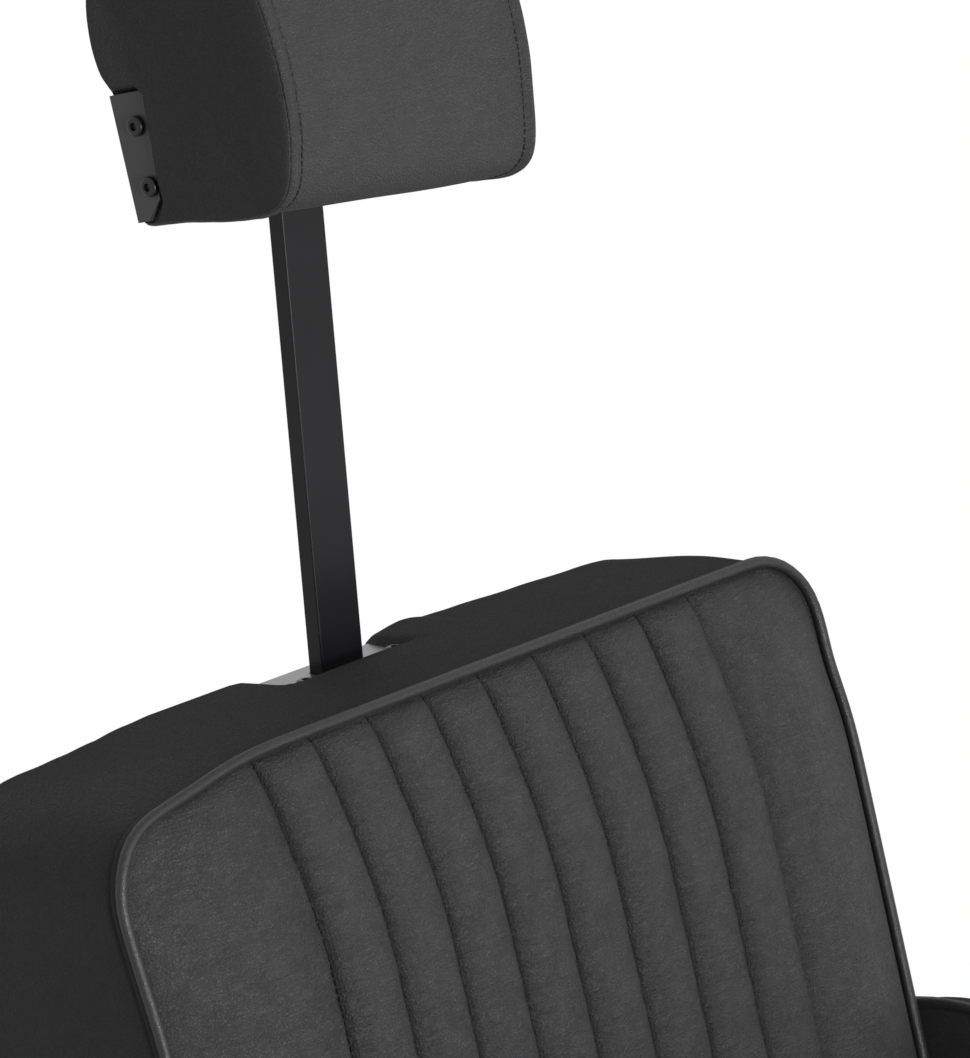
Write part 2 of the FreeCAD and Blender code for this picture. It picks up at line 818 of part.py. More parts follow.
def make_back_hinge():
    leg_front = board_rear
    leg_rear = leg_front + hinge_leg_width
    foot_low = pivot_z - hinge_foot_height / 2
    foot_high = pivot_z + hinge_foot_height / 2
    plates = [
        box(hinge_inner, hinge_outer, leg_front, leg_rear, foot_low, foot_low + hinge_leg_height),
        box(hinge_inner, hinge_outer, pivot_y, leg_rear, foot_low, foot_high),
        rod_x(hinge_foot_height / 2, hinge_inner, hinge_outer, pivot_y, pivot_z),
    ]
    flange = box(hinge_inner - hinge_flange_width, hinge_outer, board_rear,
                 board_rear + hinge_flange_thickness, -back_frame_length,
                 hinge_flange_height - back_frame_length)
    hinge = fuse(plates + [flange])
    holes = screw_holes(hinge_screw_points, rear, screw_length)
    return hinge.cut(holes + [rod_x(recline_shaft_radius, hinge_inner - cut_overrun,
                                    hinge_outer + cut_overrun, pivot_y, pivot_z)])


ear_outer = rail_outer + hinge_thickness
shaft_reach = ear_outer + plate_gap + shaft_nut_length
back_hinge = make_back_hinge()
save("back_hinge_left", in_bar_frame(mirrored(back_hinge)))
save("back_hinge_right", in_bar_frame(back_hinge))
save("recline_shaft", rod_x(recline_shaft_radius, -shaft_reach, shaft_reach, recline_y, recline_z))
shaft_nut = rod_x(shaft_nut_radius, ear_outer + plate_gap, shaft_reach, recline_y, recline_z)
shaft_nut = shaft_nut.cut(rod_x(recline_shaft_radius, 0, shaft_reach + cut_overrun, recline_y, recline_z))
save("shaft_nuts", both_sides(shaft_nut))

lever_low = recline_z - lever_radius
lever_half = lever_thickness / 2
strut_lever = fuse([
    box(lever_x - lever_half, lever_x + lever_half, recline_y - lever_width / 2, recline_y + lever_width / 2,
        lever_low, recline_z),
    rod_x(lever_hub_radius, lever_x - lever_half, lever_x + lever_half, recline_y, recline_z),
    rod_x(lever_width / 2, lever_x - lever_half, lever_x + lever_half, recline_y, lever_low),
])
strut_lever = strut_lever.cut([
    rod_x(recline_shaft_radius, 0, shaft_reach, recline_y, recline_z),
    rod_x(strut_pin_radius, 0, shaft_reach, recline_y, lever_low),
])
save("strut_lever", strut_lever)
strut_z = lever_low
eye_x = lever_x + lever_half + plate_gap
eye_outer = eye_x + strut_eye_width
strut_rear_pin = fuse([
    rod_x(strut_pin_radius, lever_x - lever_half, eye_outer + plate_gap, recline_y, lever_low),
    rod_x(strut_pin_head_radius, eye_outer + plate_gap, eye_outer + plate_gap + strut_pin_head_length,
          recline_y, lever_low),
])
save("strut_rear_pin", strut_rear_pin)

# Gas strut: the rod is held in front, the cylinder slides on it and pushes the lever
strut_x = (eye_x + eye_outer) / 2
eye_bore = strut_pin_radius + strut_open_gap
eye_radius = eye_bore + strut_eye_wall
cylinder_rear = recline_y - eye_radius - strut_neck
cylinder_front = cylinder_rear - strut_cylinder_length


def rod_y(radius, x, y0, y1, z):
    return rod(radius, V(x, y0, z), V(x, y1, z))


strut_cylinder = fuse([
    rod_y(strut_cylinder_radius, strut_x, cylinder_front, cylinder_rear, strut_z),
    rod_y(strut_eye_width / 2, strut_x, cylinder_rear, recline_y - eye_bore - strut_eye_wall / 2, strut_z),
    rod_x(eye_radius, eye_x, eye_outer, recline_y, strut_z),
])
strut_cylinder = strut_cylinder.cut([
    rod_x(eye_bore, eye_x - cut_overrun, eye_outer + cut_overrun, recline_y, strut_z),
    rod_y(strut_rod_radius + pin_gap, strut_x, cylinder_front - cut_overrun,
          cylinder_rear - strut_neck, strut_z),
])
save("strut_cylinder", strut_cylinder)

head_half = strut_head_size / 2
head_front = strut_front_y - strut_head_length / 2
head_rear = strut_front_y + strut_head_length / 2
full_recline = math.radians(recline_range)
rod_rear = cylinder_rear - strut_neck - strut_neck - lever_radius * math.sin(full_recline)
strut_rod = fuse([
    box(strut_x - head_half, strut_x + head_half, head_front, head_rear, strut_z - head_half,
        strut_z + head_half),
    rod_y(strut_rod_radius, strut_x, head_rear - cut_overrun, rod_rear, strut_z),
])
strut_rod = strut_rod.cut([
    rod_x(strut_pin_radius + pin_gap, 0, shaft_reach, strut_front_y, strut_z),
    rod_y(valve_pin_radius + pin_gap, strut_x, head_front - cut_overrun,
          strut_front_y - valve_bore_stop, strut_z),
])
save("strut_rod", strut_rod)
valve_front = head_front - valve_pin_reach
save("valve_pin", rod_y(valve_pin_radius, strut_x, valve_front, valve_front + valve_pin_length, strut_z))

cheek_x = head_half + plate_gap
cheek_front = head_front + strut_cheek_setback
strut_cheek = box(strut_x + cheek_x, strut_x + cheek_x + strut_bracket_thickness,
                  cheek_front, crossbar_y_list[1] + crossbar_width / 2,
                  strut_z - head_half, crossbar_bottom)
cheek_shift = V(-2 * cheek_x - strut_bracket_thickness, 0, 0)
other_cheek = strut_cheek.translated(cheek_shift)
bridge = box(strut_x - cheek_x - strut_bracket_thickness, strut_x + cheek_x + strut_bracket_thickness,
             cheek_front, crossbar_y_list[1] + crossbar_width / 2,
             crossbar_bottom - strut_bracket_thickness, crossbar_bottom)
pin_reach = cheek_x + strut_bracket_thickness
strut_bracket = fuse([strut_cheek, other_cheek, bridge])
strut_bracket = strut_bracket.cut(rod_x(strut_pin_radius, 0, shaft_reach, strut_front_y, strut_z))
save("strut_bracket", strut_bracket)
strut_front_pin = rod_x(strut_pin_radius, strut_x - pin_reach, strut_x + pin_reach, strut_front_y, strut_z)
save("strut_front_pin", strut_front_pin)

# Release lever: a flat bar under the rail that presses the valve pin
release_top = rail_bottom - plate_gap
release_low = release_top - release_bar_thickness
release_x = rail_spacing / 2
tab_rear = valve_front - release_tab_gap
release_half = release_bar_width / 2
grip_start = arm_outer + grip_to_arm_gap
release_end_x = grip_start + grip_length * grip_hold_share
release_lever = fuse([
    box(release_inner_x, release_end_x, release_pivot_y - release_half, release_pivot_y + release_half,
        release_low, release_top),
    box(release_inner_x, strut_x + release_tab_reach, release_pivot_y + release_half - release_bar_thickness,
        tab_rear, release_low, strut_z + release_tab_height / 2),
])
release_lever = release_lever.cut(rod_z(release_bolt_radius + pin_gap, release_x, release_pivot_y,
                                        release_low - cut_overrun, release_top + cut_overrun))
grip_z = (release_low + release_top) / 2
grip = rod_x(grip_radius, grip_start, grip_start + grip_length, release_pivot_y, grip_z)
grip_rims = [e for e in grip.Edges if e.Closed and len(e.Vertexes) == 1]
grip = grip.makeFillet(grip_radius * grip_round_share, grip_rims)
save("release_lever", release_lever)
save("release_grip", grip.cut(release_lever))
release_bolt = fuse([
    rod_z(release_bolt_radius, release_x, release_pivot_y, release_low - plate_gap,
          rail_bottom + rail_height / 2),
    rod_z(release_bolt_head_radius, release_x, release_pivot_y,
          release_low - plate_gap - release_bolt_head_height, release_low - plate_gap),
])
save("release_bolt", release_bolt)


# Seat frame: two rails with hinge ears, flat crossbars, swivel plate with hub

def make_rail():
    inner = rail_outer - rail_width
    rail = box(inner, rail_outer, rail_front, rail_rear, rail_bottom, frame_top)
    ear_front = recline_y - ear_width / 2
    ear = fuse([
        box(rail_outer, ear_outer, ear_front, recline_y + ear_width / 2, rail_bottom, recline_z),
        rod_x(ear_width / 2, rail_outer, ear_outer, recline_y, recline_z),
    ])
    ear = ear.cut(rod_x(recline_shaft_radius + pin_gap, rail_outer - cut_overrun, ear_outer + cut_overrun,
                        recline_y, recline_z))
    return fuse([rail, ear])


rail = make_rail()
bar_end = rail_outer - rail_width
seat_bolt_points = [V(s * seat_bolt_x, y, crossbar_bottom) for s in (-1, 1)
                    for y in (crossbar_y_list[0], crossbar_y_list[2])]
swivel_bolt_points = [V(sx * swivel_bolt_spacing / 2, sy * swivel_bolt_spacing / 2, swivel_plate_bottom)
                      for sx in (-1, 1) for sy in (-1, 1)]


def bolt_up(point, length, radius=hex_bolt_radius, head=hex_head_radius, height=hex_head_height):
    """A bolt driven upwards, its six sided head under the point."""
    turns = [math.radians(60) * i for i in range(6)]
    corners = [V(point.x + head * math.cos(t), point.y + head * math.sin(t), point.z - height) for t in turns]
    hexagon = Part.Face(Part.makePolygon(corners + corners[:1])).extrude(V(0, 0, height))
    return hexagon.fuse(rod(radius, point, point.add(V(0, 0, length)))).removeSplitter()


def bolt_holes(points, length, radius=hex_bolt_radius):
    return [rod(radius, p.sub(V(0, 0, cut_overrun)), p.add(V(0, 0, length))) for p in points]


seat_bolt_length = crossbar_thickness + seat_bolt_bite
swivel_bolt_length = swivel_plate_thickness + crossbar_thickness
release_place = V(release_x, release_pivot_y, rail_bottom)
rail_bolt_holes = bolt_holes([release_place], rail_height / 2, release_bolt_radius)
half_bar = crossbar_width / 2
crossbars = [box(-bar_end, bar_end, y - half_bar, y + half_bar, crossbar_bottom, frame_top)
             for y in crossbar_y_list]
stem_low = crossbar_bottom - stem_thickness
foot_bolt_points = [V(s * foot_bolt_spacing / 2, crossbar_y_list[0], stem_low) for s in (-1, 1)]
foot_bolt_length = stem_thickness + crossbar_thickness
crossbar_holes = bolt_holes(seat_bolt_points, seat_bolt_length)
crossbar_holes += bolt_holes(swivel_bolt_points, swivel_bolt_length)
crossbar_holes += bolt_holes(foot_bolt_points, foot_bolt_length, arm_bolt_radius)
save("seat_crossbars", Part.makeCompound([bar.cut(crossbar_holes) for bar in crossbars]))

arm_bolt_x = arm_inner + arm_core_setback + arm_core_thickness / 2
bracket_top = rail_bottom
bracket_low = bracket_top - arm_bracket_thickness
arm_bolt_points = [V(arm_bolt_x, y, bracket_low) for y in arm_bracket_y_list]
rail_bracket_points = [V(release_x, y, bracket_low) for y in arm_bracket_y_list]
rail_holes = bolt_holes(rail_bracket_points, rail_bolt_length, arm_bolt_radius)
save("seat_rail_right", rail.cut(rail_bolt_holes + rail_holes))
save("seat_rail_left", mirrored(rail.cut(rail_holes)))

half_plate = swivel_plate_size / 2
swivel_plate = fuse([
    box(-half_plate, half_plate, -half_plate, half_plate, swivel_plate_bottom, crossbar_bottom),
    rod_z(hub_radius, 0, 0, hub_bottom, crossbar_bottom),
])
swivel_plate = swivel_plate.cut(
    [rod_z(ram_radius + pin_gap, 0, 0, hub_bottom - cut_overrun, swivel_plate_bottom)]
    + bolt_holes(swivel_bolt_points, swivel_bolt_length))
save("swivel_plate", swivel_plate)
seat_bolts = [bolt_up(p, seat_bolt_length) for p in seat_bolt_points]
seat_bolts += [bolt_up(p, swivel_bolt_length) for p in swivel_bolt_points]
save("seat_bolts", Part.makeCompound(seat_bolts))

# Seat board and cushion
seat_level_depth = back_edge_z - seat_height
seat_level_share = ease((back_length - seat_level_depth) / back_crown_run)
back_face_y = back_edge_y - seat_level_depth * tan_front - (back_crown + channel_bulge) * seat_level_share
seat_rear = back_face_y - seat_to_back_gap - piping_radius - piping_radius
seat_front = seat_rear - seat_length
board_front_y = seat_front + seat_board_inset
board_rear_y = board_front_y + seat_board_length
seat_board = box(-seat_board_width / 2, seat_board_width / 2, board_front_y, board_rear_y,
                 frame_top, cushion_bottom)
seat_board = seat_board.cut(bolt_holes(seat_bolt_points, seat_bolt_length))
save("seat_board", seat_board)


def seat_section(depth):
    origin = V(0, seat_front + depth, seat_height)
    share = ease(min(depth, seat_length - depth) / seat_crown_run)
    reach = half_width_at(depth, seat_length)
    return cushion_section(origin, V(0, 0, -1), seat_thickness, reach, seat_crown, share, 0, rear_radius)


def seat_corner(x, depth, offset):
    return V(x, seat_front + depth, seat_height + offset)


save("seat_cushion", loft([seat_section(d) for d in stations(seat_length, seat_crown_run)]))
save("seat_piping", piping(seat_length, seat_corner, piping_radius))


# Arms: padded panels round a plywood core, piped along their upper edges

def arm_edge(grow, foot):
    """Side view of an arm from its front foot to its rear foot, as lists of (y, z) for its lines and arcs."""
    front = arm_front - grow
    high = arm_top + grow
    back = arm_rear + grow
    r = arm_front_radius + grow
    turn = r * (1 - math.sqrt(0.5))
    sweep = arm_rear_radius + grow
    centre_z = high - sweep
    fall = math.asin((back - arm_level_end) / sweep)

    def on_sweep(angle):
        return arm_level_end + sweep * math.sin(angle), centre_z + sweep * math.cos(angle)
    return [
        [(front, foot), (front, high - r)],
        [(front, high - r), (front + turn, high - turn), (front + r, high)],
        [(front + r, high), (arm_level_end, high)],
        [(arm_level_end, high), on_sweep(fall / 2), on_sweep(fall)],
        [on_sweep(fall), (back, foot)],
    ]


def edges_at(x, pieces):
    edges = []
    for piece in pieces:
        points = [V(x, y, z) for y, z in piece]
        edges.append(arc(*points) if len(points) > 2 else line(*points))
    return edges


def arm_outline(x, grow):
    pieces = arm_edge(grow, rail_bottom)
    return Part.Wire(edges_at(x, pieces + [[pieces[-1][-1], pieces[0][0]]]))


def make_arm():
    """Flat inside; the outside rolls over a wide shoulder to the front, the top and the rear."""
    places = [(arm_inner, 0), (arm_outer - arm_shoulder_radius - arm_shoulder_flat, 0)]
    roll_shares = (0.25, 0.5, 0.7, 0.85)
    for share in roll_shares:
        turn = math.radians(90) * share
        x = arm_outer - arm_shoulder_radius * (1 - math.sin(turn))
        places.append((x, -arm_shoulder_radius * (1 - math.cos(turn))))
    return loft([arm_outline(x, grow) for x, grow in places])


core_x = arm_inner + arm_core_setback
core_rear = arm_level_end + arm_core_inset
arm_core = box(core_x, core_x + arm_core_thickness, arm_front + arm_core_inset, core_rear,
               rail_bottom, arm_top - arm_core_inset)
arm = make_arm().cut(arm_core)
arm_core = arm_core.cut(bolt_holes(arm_bolt_points, arm_bolt_length, arm_bolt_radius))
save("arm_right", arm)
save("arm_left", mirrored(arm))
save("arm_cores", both_sides(arm_core))


def make_arm_piping():
    """A welt along the front, top and rear edge of an arm's inner face."""
    offset = (piping_radius + piping_gap) / math.sqrt(2)
    x = arm_inner - offset
    foot = rail_bottom + arm_foot_radius
    path = Part.Wire(edges_at(x, arm_edge(offset, foot)))
    ring = Part.Wire(Part.makeCircle(piping_radius, V(x, arm_front - offset, foot), V(0, 0, 1)))
    return path.makePipeShell([ring], True, False)


save("arm_piping", both_sides(make_arm_piping()))
arm_brackets = [box(rail_outer - rail_width, arm_outer - arm_bracket_reach, y - arm_bracket_width / 2,
                    y + arm_bracket_width / 2, bracket_low, bracket_top) for y in arm_bracket_y_list]
arm_brackets = [b.cut(bolt_holes(arm_bolt_points + rail_bracket_points, arm_bolt_length, arm_bolt_radius))
                for b in arm_brackets]
save("arm_brackets", Part.makeCompound(arm_brackets + [mirrored(b) for b in arm_brackets]))
arm_bolts = [bolt_up(p, arm_bolt_length, arm_bolt_radius, arm_bolt_head_radius, arm_bolt_head_height)
             for p in arm_bolt_points]
arm_bolts += [bolt_up(p, rail_bolt_length, arm_bolt_radius, arm_bolt_head_radius, arm_bolt_head_height)
              for p in rail_bracket_points]
arm_bolts += [mirrored(b) for b in arm_bolts]

# Footrest: bent stem under the front crossbar, foot bar with rubber sleeves
stem_top = crossbar_bottom
fall = V(0, foot_bar_y - stem_bend_y, foot_bar_z - stem_top)
fall_angle = math.atan2(-fall.z, -fall.y)
knee = stem_thickness * math.tan(fall_angle / 2)
normal_y = -math.sin(fall_angle) * stem_thickness
normal_z = math.cos(fall_angle) * stem_thickness
stem_points = [
    (stem_rear, stem_top), (stem_bend_y, stem_top), (foot_bar_y, foot_bar_z + stem_thickness / 2),
    (foot_bar_y - normal_y, foot_bar_z + stem_thickness / 2 - normal_z), (stem_bend_y + knee, stem_low),
    (stem_rear, stem_low),
]
stem = slab(stem_points, -stem_width / 2, stem_width / 2)
stem = stem.cut(bolt_holes(foot_bolt_points, foot_bolt_length, arm_bolt_radius))
foot_bar = rod_x(foot_bar_radius, -foot_bar_length / 2, foot_bar_length / 2, foot_bar_y, foot_bar_z)
save("footrest_stem", stem.cut(foot_bar))
save("footrest_bar", foot_bar)
sleeve_start = foot_bar_length / 2 - sleeve_length
sleeve = rod_x(foot_bar_radius + sleeve_wall, sleeve_start, foot_bar_length / 2, foot_bar_y, foot_bar_z)
sleeve = sleeve.cut(rod_x(foot_bar_radius, 0, foot_bar_length, foot_bar_y, foot_bar_z))
save("footrest_sleeves", both_sides(sleeve))
foot_cap = rod_x(foot_bar_radius + sleeve_wall, foot_bar_length / 2, foot_bar_length / 2 + foot_cap_length,
                 foot_bar_y, foot_bar_z)
foot_cap = foot_cap.makeFillet(foot_cap_length / 2, [foot_cap.Edges[0]])
save("footrest_caps", both_sides(foot_cap))
front_bar_bolts = [bolt_up(p, foot_bolt_length, arm_bolt_radius, arm_bolt_head_radius, arm_bolt_head_height)
                   for p in foot_bolt_points]
save("bracket_bolts", Part.makeCompound(arm_bolts + front_bar_bolts))

# Column: ram, piston seal, thrust bearing, gland and pump housing
ram_top = swivel_plate_bottom - bearing_height - slide_gap
ram_bottom = ram_rest_height
ram = rod_z(ram_radius, 0, 0, ram_bottom, ram_top)
seal_radius = housing_bore_radius - pin_gap
seal = rod_z(seal_radius, 0, 0, ram_bottom, ram_bottom + piston_seal_height)
seal = seal.cut(rod_z(seal_groove_radius, 0, 0, 0, ram_top))
seal_room = rod_z(housing_radius, 0, 0, ram_bottom, ram_bottom + piston_seal_height)
ram = ram.cut(seal_room.cut(rod_z(seal_groove_radius, 0, 0, 0, ram_top)))
save("ram", ram)
save("piston_seal", seal)
save("thrust_bearing", rod_z(ram_radius - slide_gap, 0, 0, ram_top, ram_top + bearing_height))
gland = fuse([
    rod_z(gland_radius, 0, 0, housing_top, gland_top),
    rod_z(housing_bore_radius, 0, 0, gland_top - gland_height, gland_top),
])
save("pump_gland", gland.cut(rod_z(ram_radius + pin_gap, 0, 0, 0, gland_top + cut_overrun)))


def make_housing():
    low = base_plate_thickness
    lug_inner = pedal_hub_width / 2 + plate_gap
    lug = fuse([
        box(lug_inner, lug_inner + lug_plate_width, 0, pedal_pivot_y, pedal_pivot_z - pedal_hub_radius,
            pedal_pivot_z + pedal_hub_radius),
        rod_x(pedal_hub_radius, lug_inner, lug_inner + lug_plate_width, pedal_pivot_y, pedal_pivot_z),
    ])
    boss_y = pedal_pivot_y + plunger_offset
    shapes = [
        rod_z(housing_radius, 0, 0, low, housing_top),
        rod_z(pump_flange_radius, 0, 0, low, low + pump_flange_thickness),
        lug,
        mirrored(lug),
        rod_z(plunger_boss_radius, 0, boss_y, low, plunger_boss_top),
        box(-plunger_rib_width / 2, plunger_rib_width / 2, 0, boss_y, low, plunger_boss_top),
    ]
    cuts = [
        rod_z(housing_bore_radius, 0, 0, low + housing_floor, housing_top + cut_overrun),
        rod_x(pedal_shaft_radius, -housing_radius, housing_radius, pedal_pivot_y, pedal_pivot_z),
        rod_z(plunger_radius + pin_gap, 0, boss_y, plunger_bore_bottom, plunger_boss_top + cut_overrun),
    ]
    return fuse(shapes).cut(cuts + base_bolt_holes)


base_bolt_points = []
for i in range(base_bolt_count):
    turn = math.radians(360) * (i + base_bolt_turn_share) / base_bolt_count
    base_bolt_points.append(V(base_bolt_circle * math.cos(turn), base_bolt_circle * math.sin(turn),
                              base_plate_thickness + pump_flange_thickness))
base_bolt_depth = pump_flange_thickness + base_plate_thickness / 2
base_bolt_holes = [rod(hex_bolt_radius, p.sub(V(0, 0, base_bolt_depth)), p.add(V(0, 0, cut_overrun)))
                   for p in base_bolt_points]
save("pump_housing", make_housing())


def bolt_down(point):
    flipped = bolt_up(V(point.x, point.y, -point.z), base_bolt_depth)
    return flipped.mirror(V(0, 0, 0), V(0, 0, 1))


save("base_bolts", Part.makeCompound([bolt_down(p) for p in base_bolt_points]))

# Pump pedal, its rubber pad, shaft and plunger
shaft_half = pedal_hub_width / 2 + plate_gap + lug_plate_width
save("pedal_shaft", rod_x(pedal_shaft_radius, -shaft_half, shaft_half, pedal_pivot_y, pedal_pivot_z))
pad_front = pedal_end_y - pedal_pad_depth
pad_half = pedal_pad_width / 2
pad_top = pedal_pivot_z + pedal_arm_height / 2
pedal = fuse([
    rod_x(pedal_hub_radius, -pedal_hub_width / 2, pedal_hub_width / 2, pedal_pivot_y, pedal_pivot_z),
    box(-pedal_arm_width / 2, pedal_arm_width / 2, pedal_pivot_y, pad_front + pedal_pad_depth / 2,
        pedal_pivot_z - pedal_arm_height / 2, pad_top),
    box(-pad_half, pad_half, pad_front, pedal_end_y, pad_top - pedal_pad_thickness, pad_top),
])
pedal = pedal.cut(rod_x(pedal_shaft_radius + pin_gap, -pedal_hub_width, pedal_hub_width, pedal_pivot_y,
                        pedal_pivot_z))
save("pump_pedal", pedal)
rubber_top = pad_top + pedal_rubber_thickness
save("pedal_rubber", box(-pad_half, pad_half, pad_front, pedal_end_y, pad_top, rubber_top))
plunger_top = pedal_pivot_z - pedal_arm_height / 2 - plunger_top_gap
save("pump_plunger", rod_z(plunger_radius, 0, pedal_pivot_y + plunger_offset, plunger_top - plunger_length,
                           plunger_top))

# Base: a round steel plate under a pressed cover
base_plate = rod_z(base_radius, 0, 0, 0, base_plate_thickness)
save("base_plate", base_plate.cut(base_bolt_holes))


def make_cover():
    rim = base_radius - cover_rim_inset
    low = base_plate_thickness
    high = low + cover_rise
    t = cover_thickness
    mid_r = (rim + cover_top_radius) / 2
    mid_z = low + cover_rise * cover_arc_share
    rim_inner = low + cover_rim_height - t / 2

    def at(r, z):
        return V(r, 0, z)
    outline = [
        line(at(rim, low), at(rim, low + cover_rim_height)),
        arc(at(rim, low + cover_rim_height), at(mid_r, mid_z), at(cover_top_radius, high)),
        line(at(cover_top_radius, high), at(cover_top_radius, high - t)),
        arc(at(cover_top_radius, high - t), at(mid_r, mid_z - t), at(rim - t, rim_inner)),
        line(at(rim - t, rim_inner), at(rim - t, low)),
        line(at(rim - t, low), at(rim, low)),
    ]
    return Part.Face(Part.Wire(outline)).revolve(V(0, 0, 0), V(0, 0, 1), 360)


save("base_cover", make_cover())
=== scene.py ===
import json
import math

import bmesh
import bpy
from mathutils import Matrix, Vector, kdtree, noise


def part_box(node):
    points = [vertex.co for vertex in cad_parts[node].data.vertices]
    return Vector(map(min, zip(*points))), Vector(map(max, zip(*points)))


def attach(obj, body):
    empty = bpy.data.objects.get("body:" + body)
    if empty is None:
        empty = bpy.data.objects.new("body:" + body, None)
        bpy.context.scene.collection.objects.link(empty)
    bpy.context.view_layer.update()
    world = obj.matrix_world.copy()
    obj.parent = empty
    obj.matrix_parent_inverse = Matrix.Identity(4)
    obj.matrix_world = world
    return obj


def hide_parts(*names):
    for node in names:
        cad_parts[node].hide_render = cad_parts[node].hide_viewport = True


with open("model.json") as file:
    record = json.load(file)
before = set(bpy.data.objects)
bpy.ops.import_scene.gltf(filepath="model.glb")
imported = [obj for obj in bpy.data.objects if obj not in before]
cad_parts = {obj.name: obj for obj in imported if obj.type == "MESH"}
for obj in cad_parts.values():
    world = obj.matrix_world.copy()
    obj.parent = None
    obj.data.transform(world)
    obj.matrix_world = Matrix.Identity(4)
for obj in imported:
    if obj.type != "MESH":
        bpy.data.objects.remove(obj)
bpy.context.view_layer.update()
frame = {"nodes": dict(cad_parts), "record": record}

# Threading chair, in metres. The sitter faces -Y and +Z is up.
# The scene dresses the model's nodes and puts sewn covers in place of its soft solids.

# Both cushions, as in the model: the piping's radius, and how far its middle lies off the edge
HALF_WIDTH = 0.280
SEAM_PITCH = 0.0428
CHANNELS = 8
SEAMS = [SEAM_PITCH * (i - CHANNELS / 2) for i in range(CHANNELS + 1)]
CORNER = 0.055
PIPING = 0.003
WELT_OUT = 0.0008
WELT_FORWARD = 0.0020

# Back: the middle of its piped top edge, its leans and the crown of its face
BACK_EDGE_Y = 0.300
BACK_EDGE_Z = 0.950
FRONT_LEAN = math.radians(16.5)
BAR_LEAN = math.radians(6.1)
TOP_SLOPE = math.radians(8.0)
BACK_LENGTH = 0.470
BACK_CROWN = 0.023
BACK_CROWN_RUN = 0.115

# Back frame, measured from the headrest bar's middle at its plate
BAR_ORIGIN = Vector((0, BACK_EDGE_Y + 0.0939, BACK_EDGE_Z - 0.019))
BOARD_FRONT = -0.028
BOARD_HALF = 0.262
PANEL_FRONT = 0.014
PANEL_REAR = 0.020
PANEL_DROP = 0.008
BACK_FRAME_LENGTH = 0.468

# Seat
SEAT_LENGTH = 0.470
SEAT_HEIGHT = 0.505
SEAT_THICKNESS = 0.095
SEAT_CROWN = 0.018
SEAT_CROWN_RUN = 0.090


# Materials

class Nodes:
    """A short way to build a node material."""

    def __init__(self, name):
        self.material = bpy.data.materials.new(name)
        self.material.use_nodes = True
        self.tree = self.material.node_tree
        self.tree.nodes.clear()
        out = self.add("ShaderNodeOutputMaterial")
        self.shader = self.add("ShaderNodeBsdfPrincipled")
        self.link(self.shader.outputs["BSDF"], out.inputs["Surface"])
        self.place = self.add("ShaderNodeTexCoord").outputs["Object"]

    def add(self, kind, **settings):
        node = self.tree.nodes.new(kind)
        for key, value in settings.items():
            setattr(node, key, value)
        return node

    def link(self, source, target):
        self.tree.links.new(source, target)

    def set(self, **values):
        for key, value in values.items():
            self.shader.inputs[key.replace("_", " ")].default_value = value

    def noise(self, scale, detail, rough, where=None, distortion=0.0):
        node = self.add("ShaderNodeTexNoise")
        node.inputs["Scale"].default_value = scale
        node.inputs["Detail"].default_value = detail
        node.inputs["Roughness"].default_value = rough
        node.inputs["Distortion"].default_value = distortion
        self.link(where or self.place, node.inputs["Vector"])
        return node.outputs["Fac"]

    def cells(self, scale, where=None, feature="DISTANCE_TO_EDGE"):
        node = self.add("ShaderNodeTexVoronoi", feature=feature)
        node.inputs["Scale"].default_value = scale
        self.link(where or self.place, node.inputs["Vector"])
        return node.outputs["Distance"]

    def span(self, value, low, high, to_low, to_high):
        node = self.add("ShaderNodeMapRange")
        self.link(value, node.inputs["Value"])
        node.inputs["From Min"].default_value = low
        node.inputs["From Max"].default_value = high
        node.inputs["To Min"].default_value = to_low
        node.inputs["To Max"].default_value = to_high
        return node.outputs["Result"]

    def math(self, operation, a, b):
        node = self.add("ShaderNodeMath", operation=operation)
        for socket, value in zip(node.inputs, (a, b)):
            if isinstance(value, (int, float)):
                socket.default_value = value
            else:
                self.link(value, socket)
        return node.outputs["Value"]

    def stretch(self, scale):
        node = self.add("ShaderNodeMapping")
        node.inputs["Scale"].default_value = scale
        self.link(self.place, node.inputs["Vector"])
        return node.outputs["Vector"]

    def bump(self, height, strength, distance, under=None):
        node = self.add("ShaderNodeBump")
        node.inputs["Strength"].default_value = strength
        node.inputs["Distance"].default_value = distance
        self.link(height, node.inputs["Height"])
        if under is not None:
            self.link(under, node.inputs["Normal"])
        return node.outputs["Normal"]

    def colour(self, factor, dark, light):
        node = self.add("ShaderNodeMix", data_type="RGBA")
        self.link(factor, node.inputs["Factor"])
        node.inputs["A"].default_value = (*dark, 1)
        node.inputs["B"].default_value = (*light, 1)
        self.link(node.outputs["Result"], self.shader.inputs["Base Color"])

    def finish(self, normal=None, rough=None):
        if normal is not None:
            self.link(normal, self.shader.inputs["Normal"])
        if rough is not None:
            self.link(rough, self.shader.inputs["Roughness"])
        return self.material


# The sewn lines in the vinyl, in shares of a channel's width: half of the line and its soft edge, how far the line and
# the puckers go past the outer seams, and how much darker the line (its own dark and painted shade in its groove) and
# the fold beside it (a painted shadow) are
LINE_HALF, LINE_SOFT = 0.008, 0.018
LINE_PAST, PUCKER_PAST = 0.04, 0.45
LINE_AND_GROOVE_SHADE, FOLD_SHADOW_PAINT = 0.65, 0.12


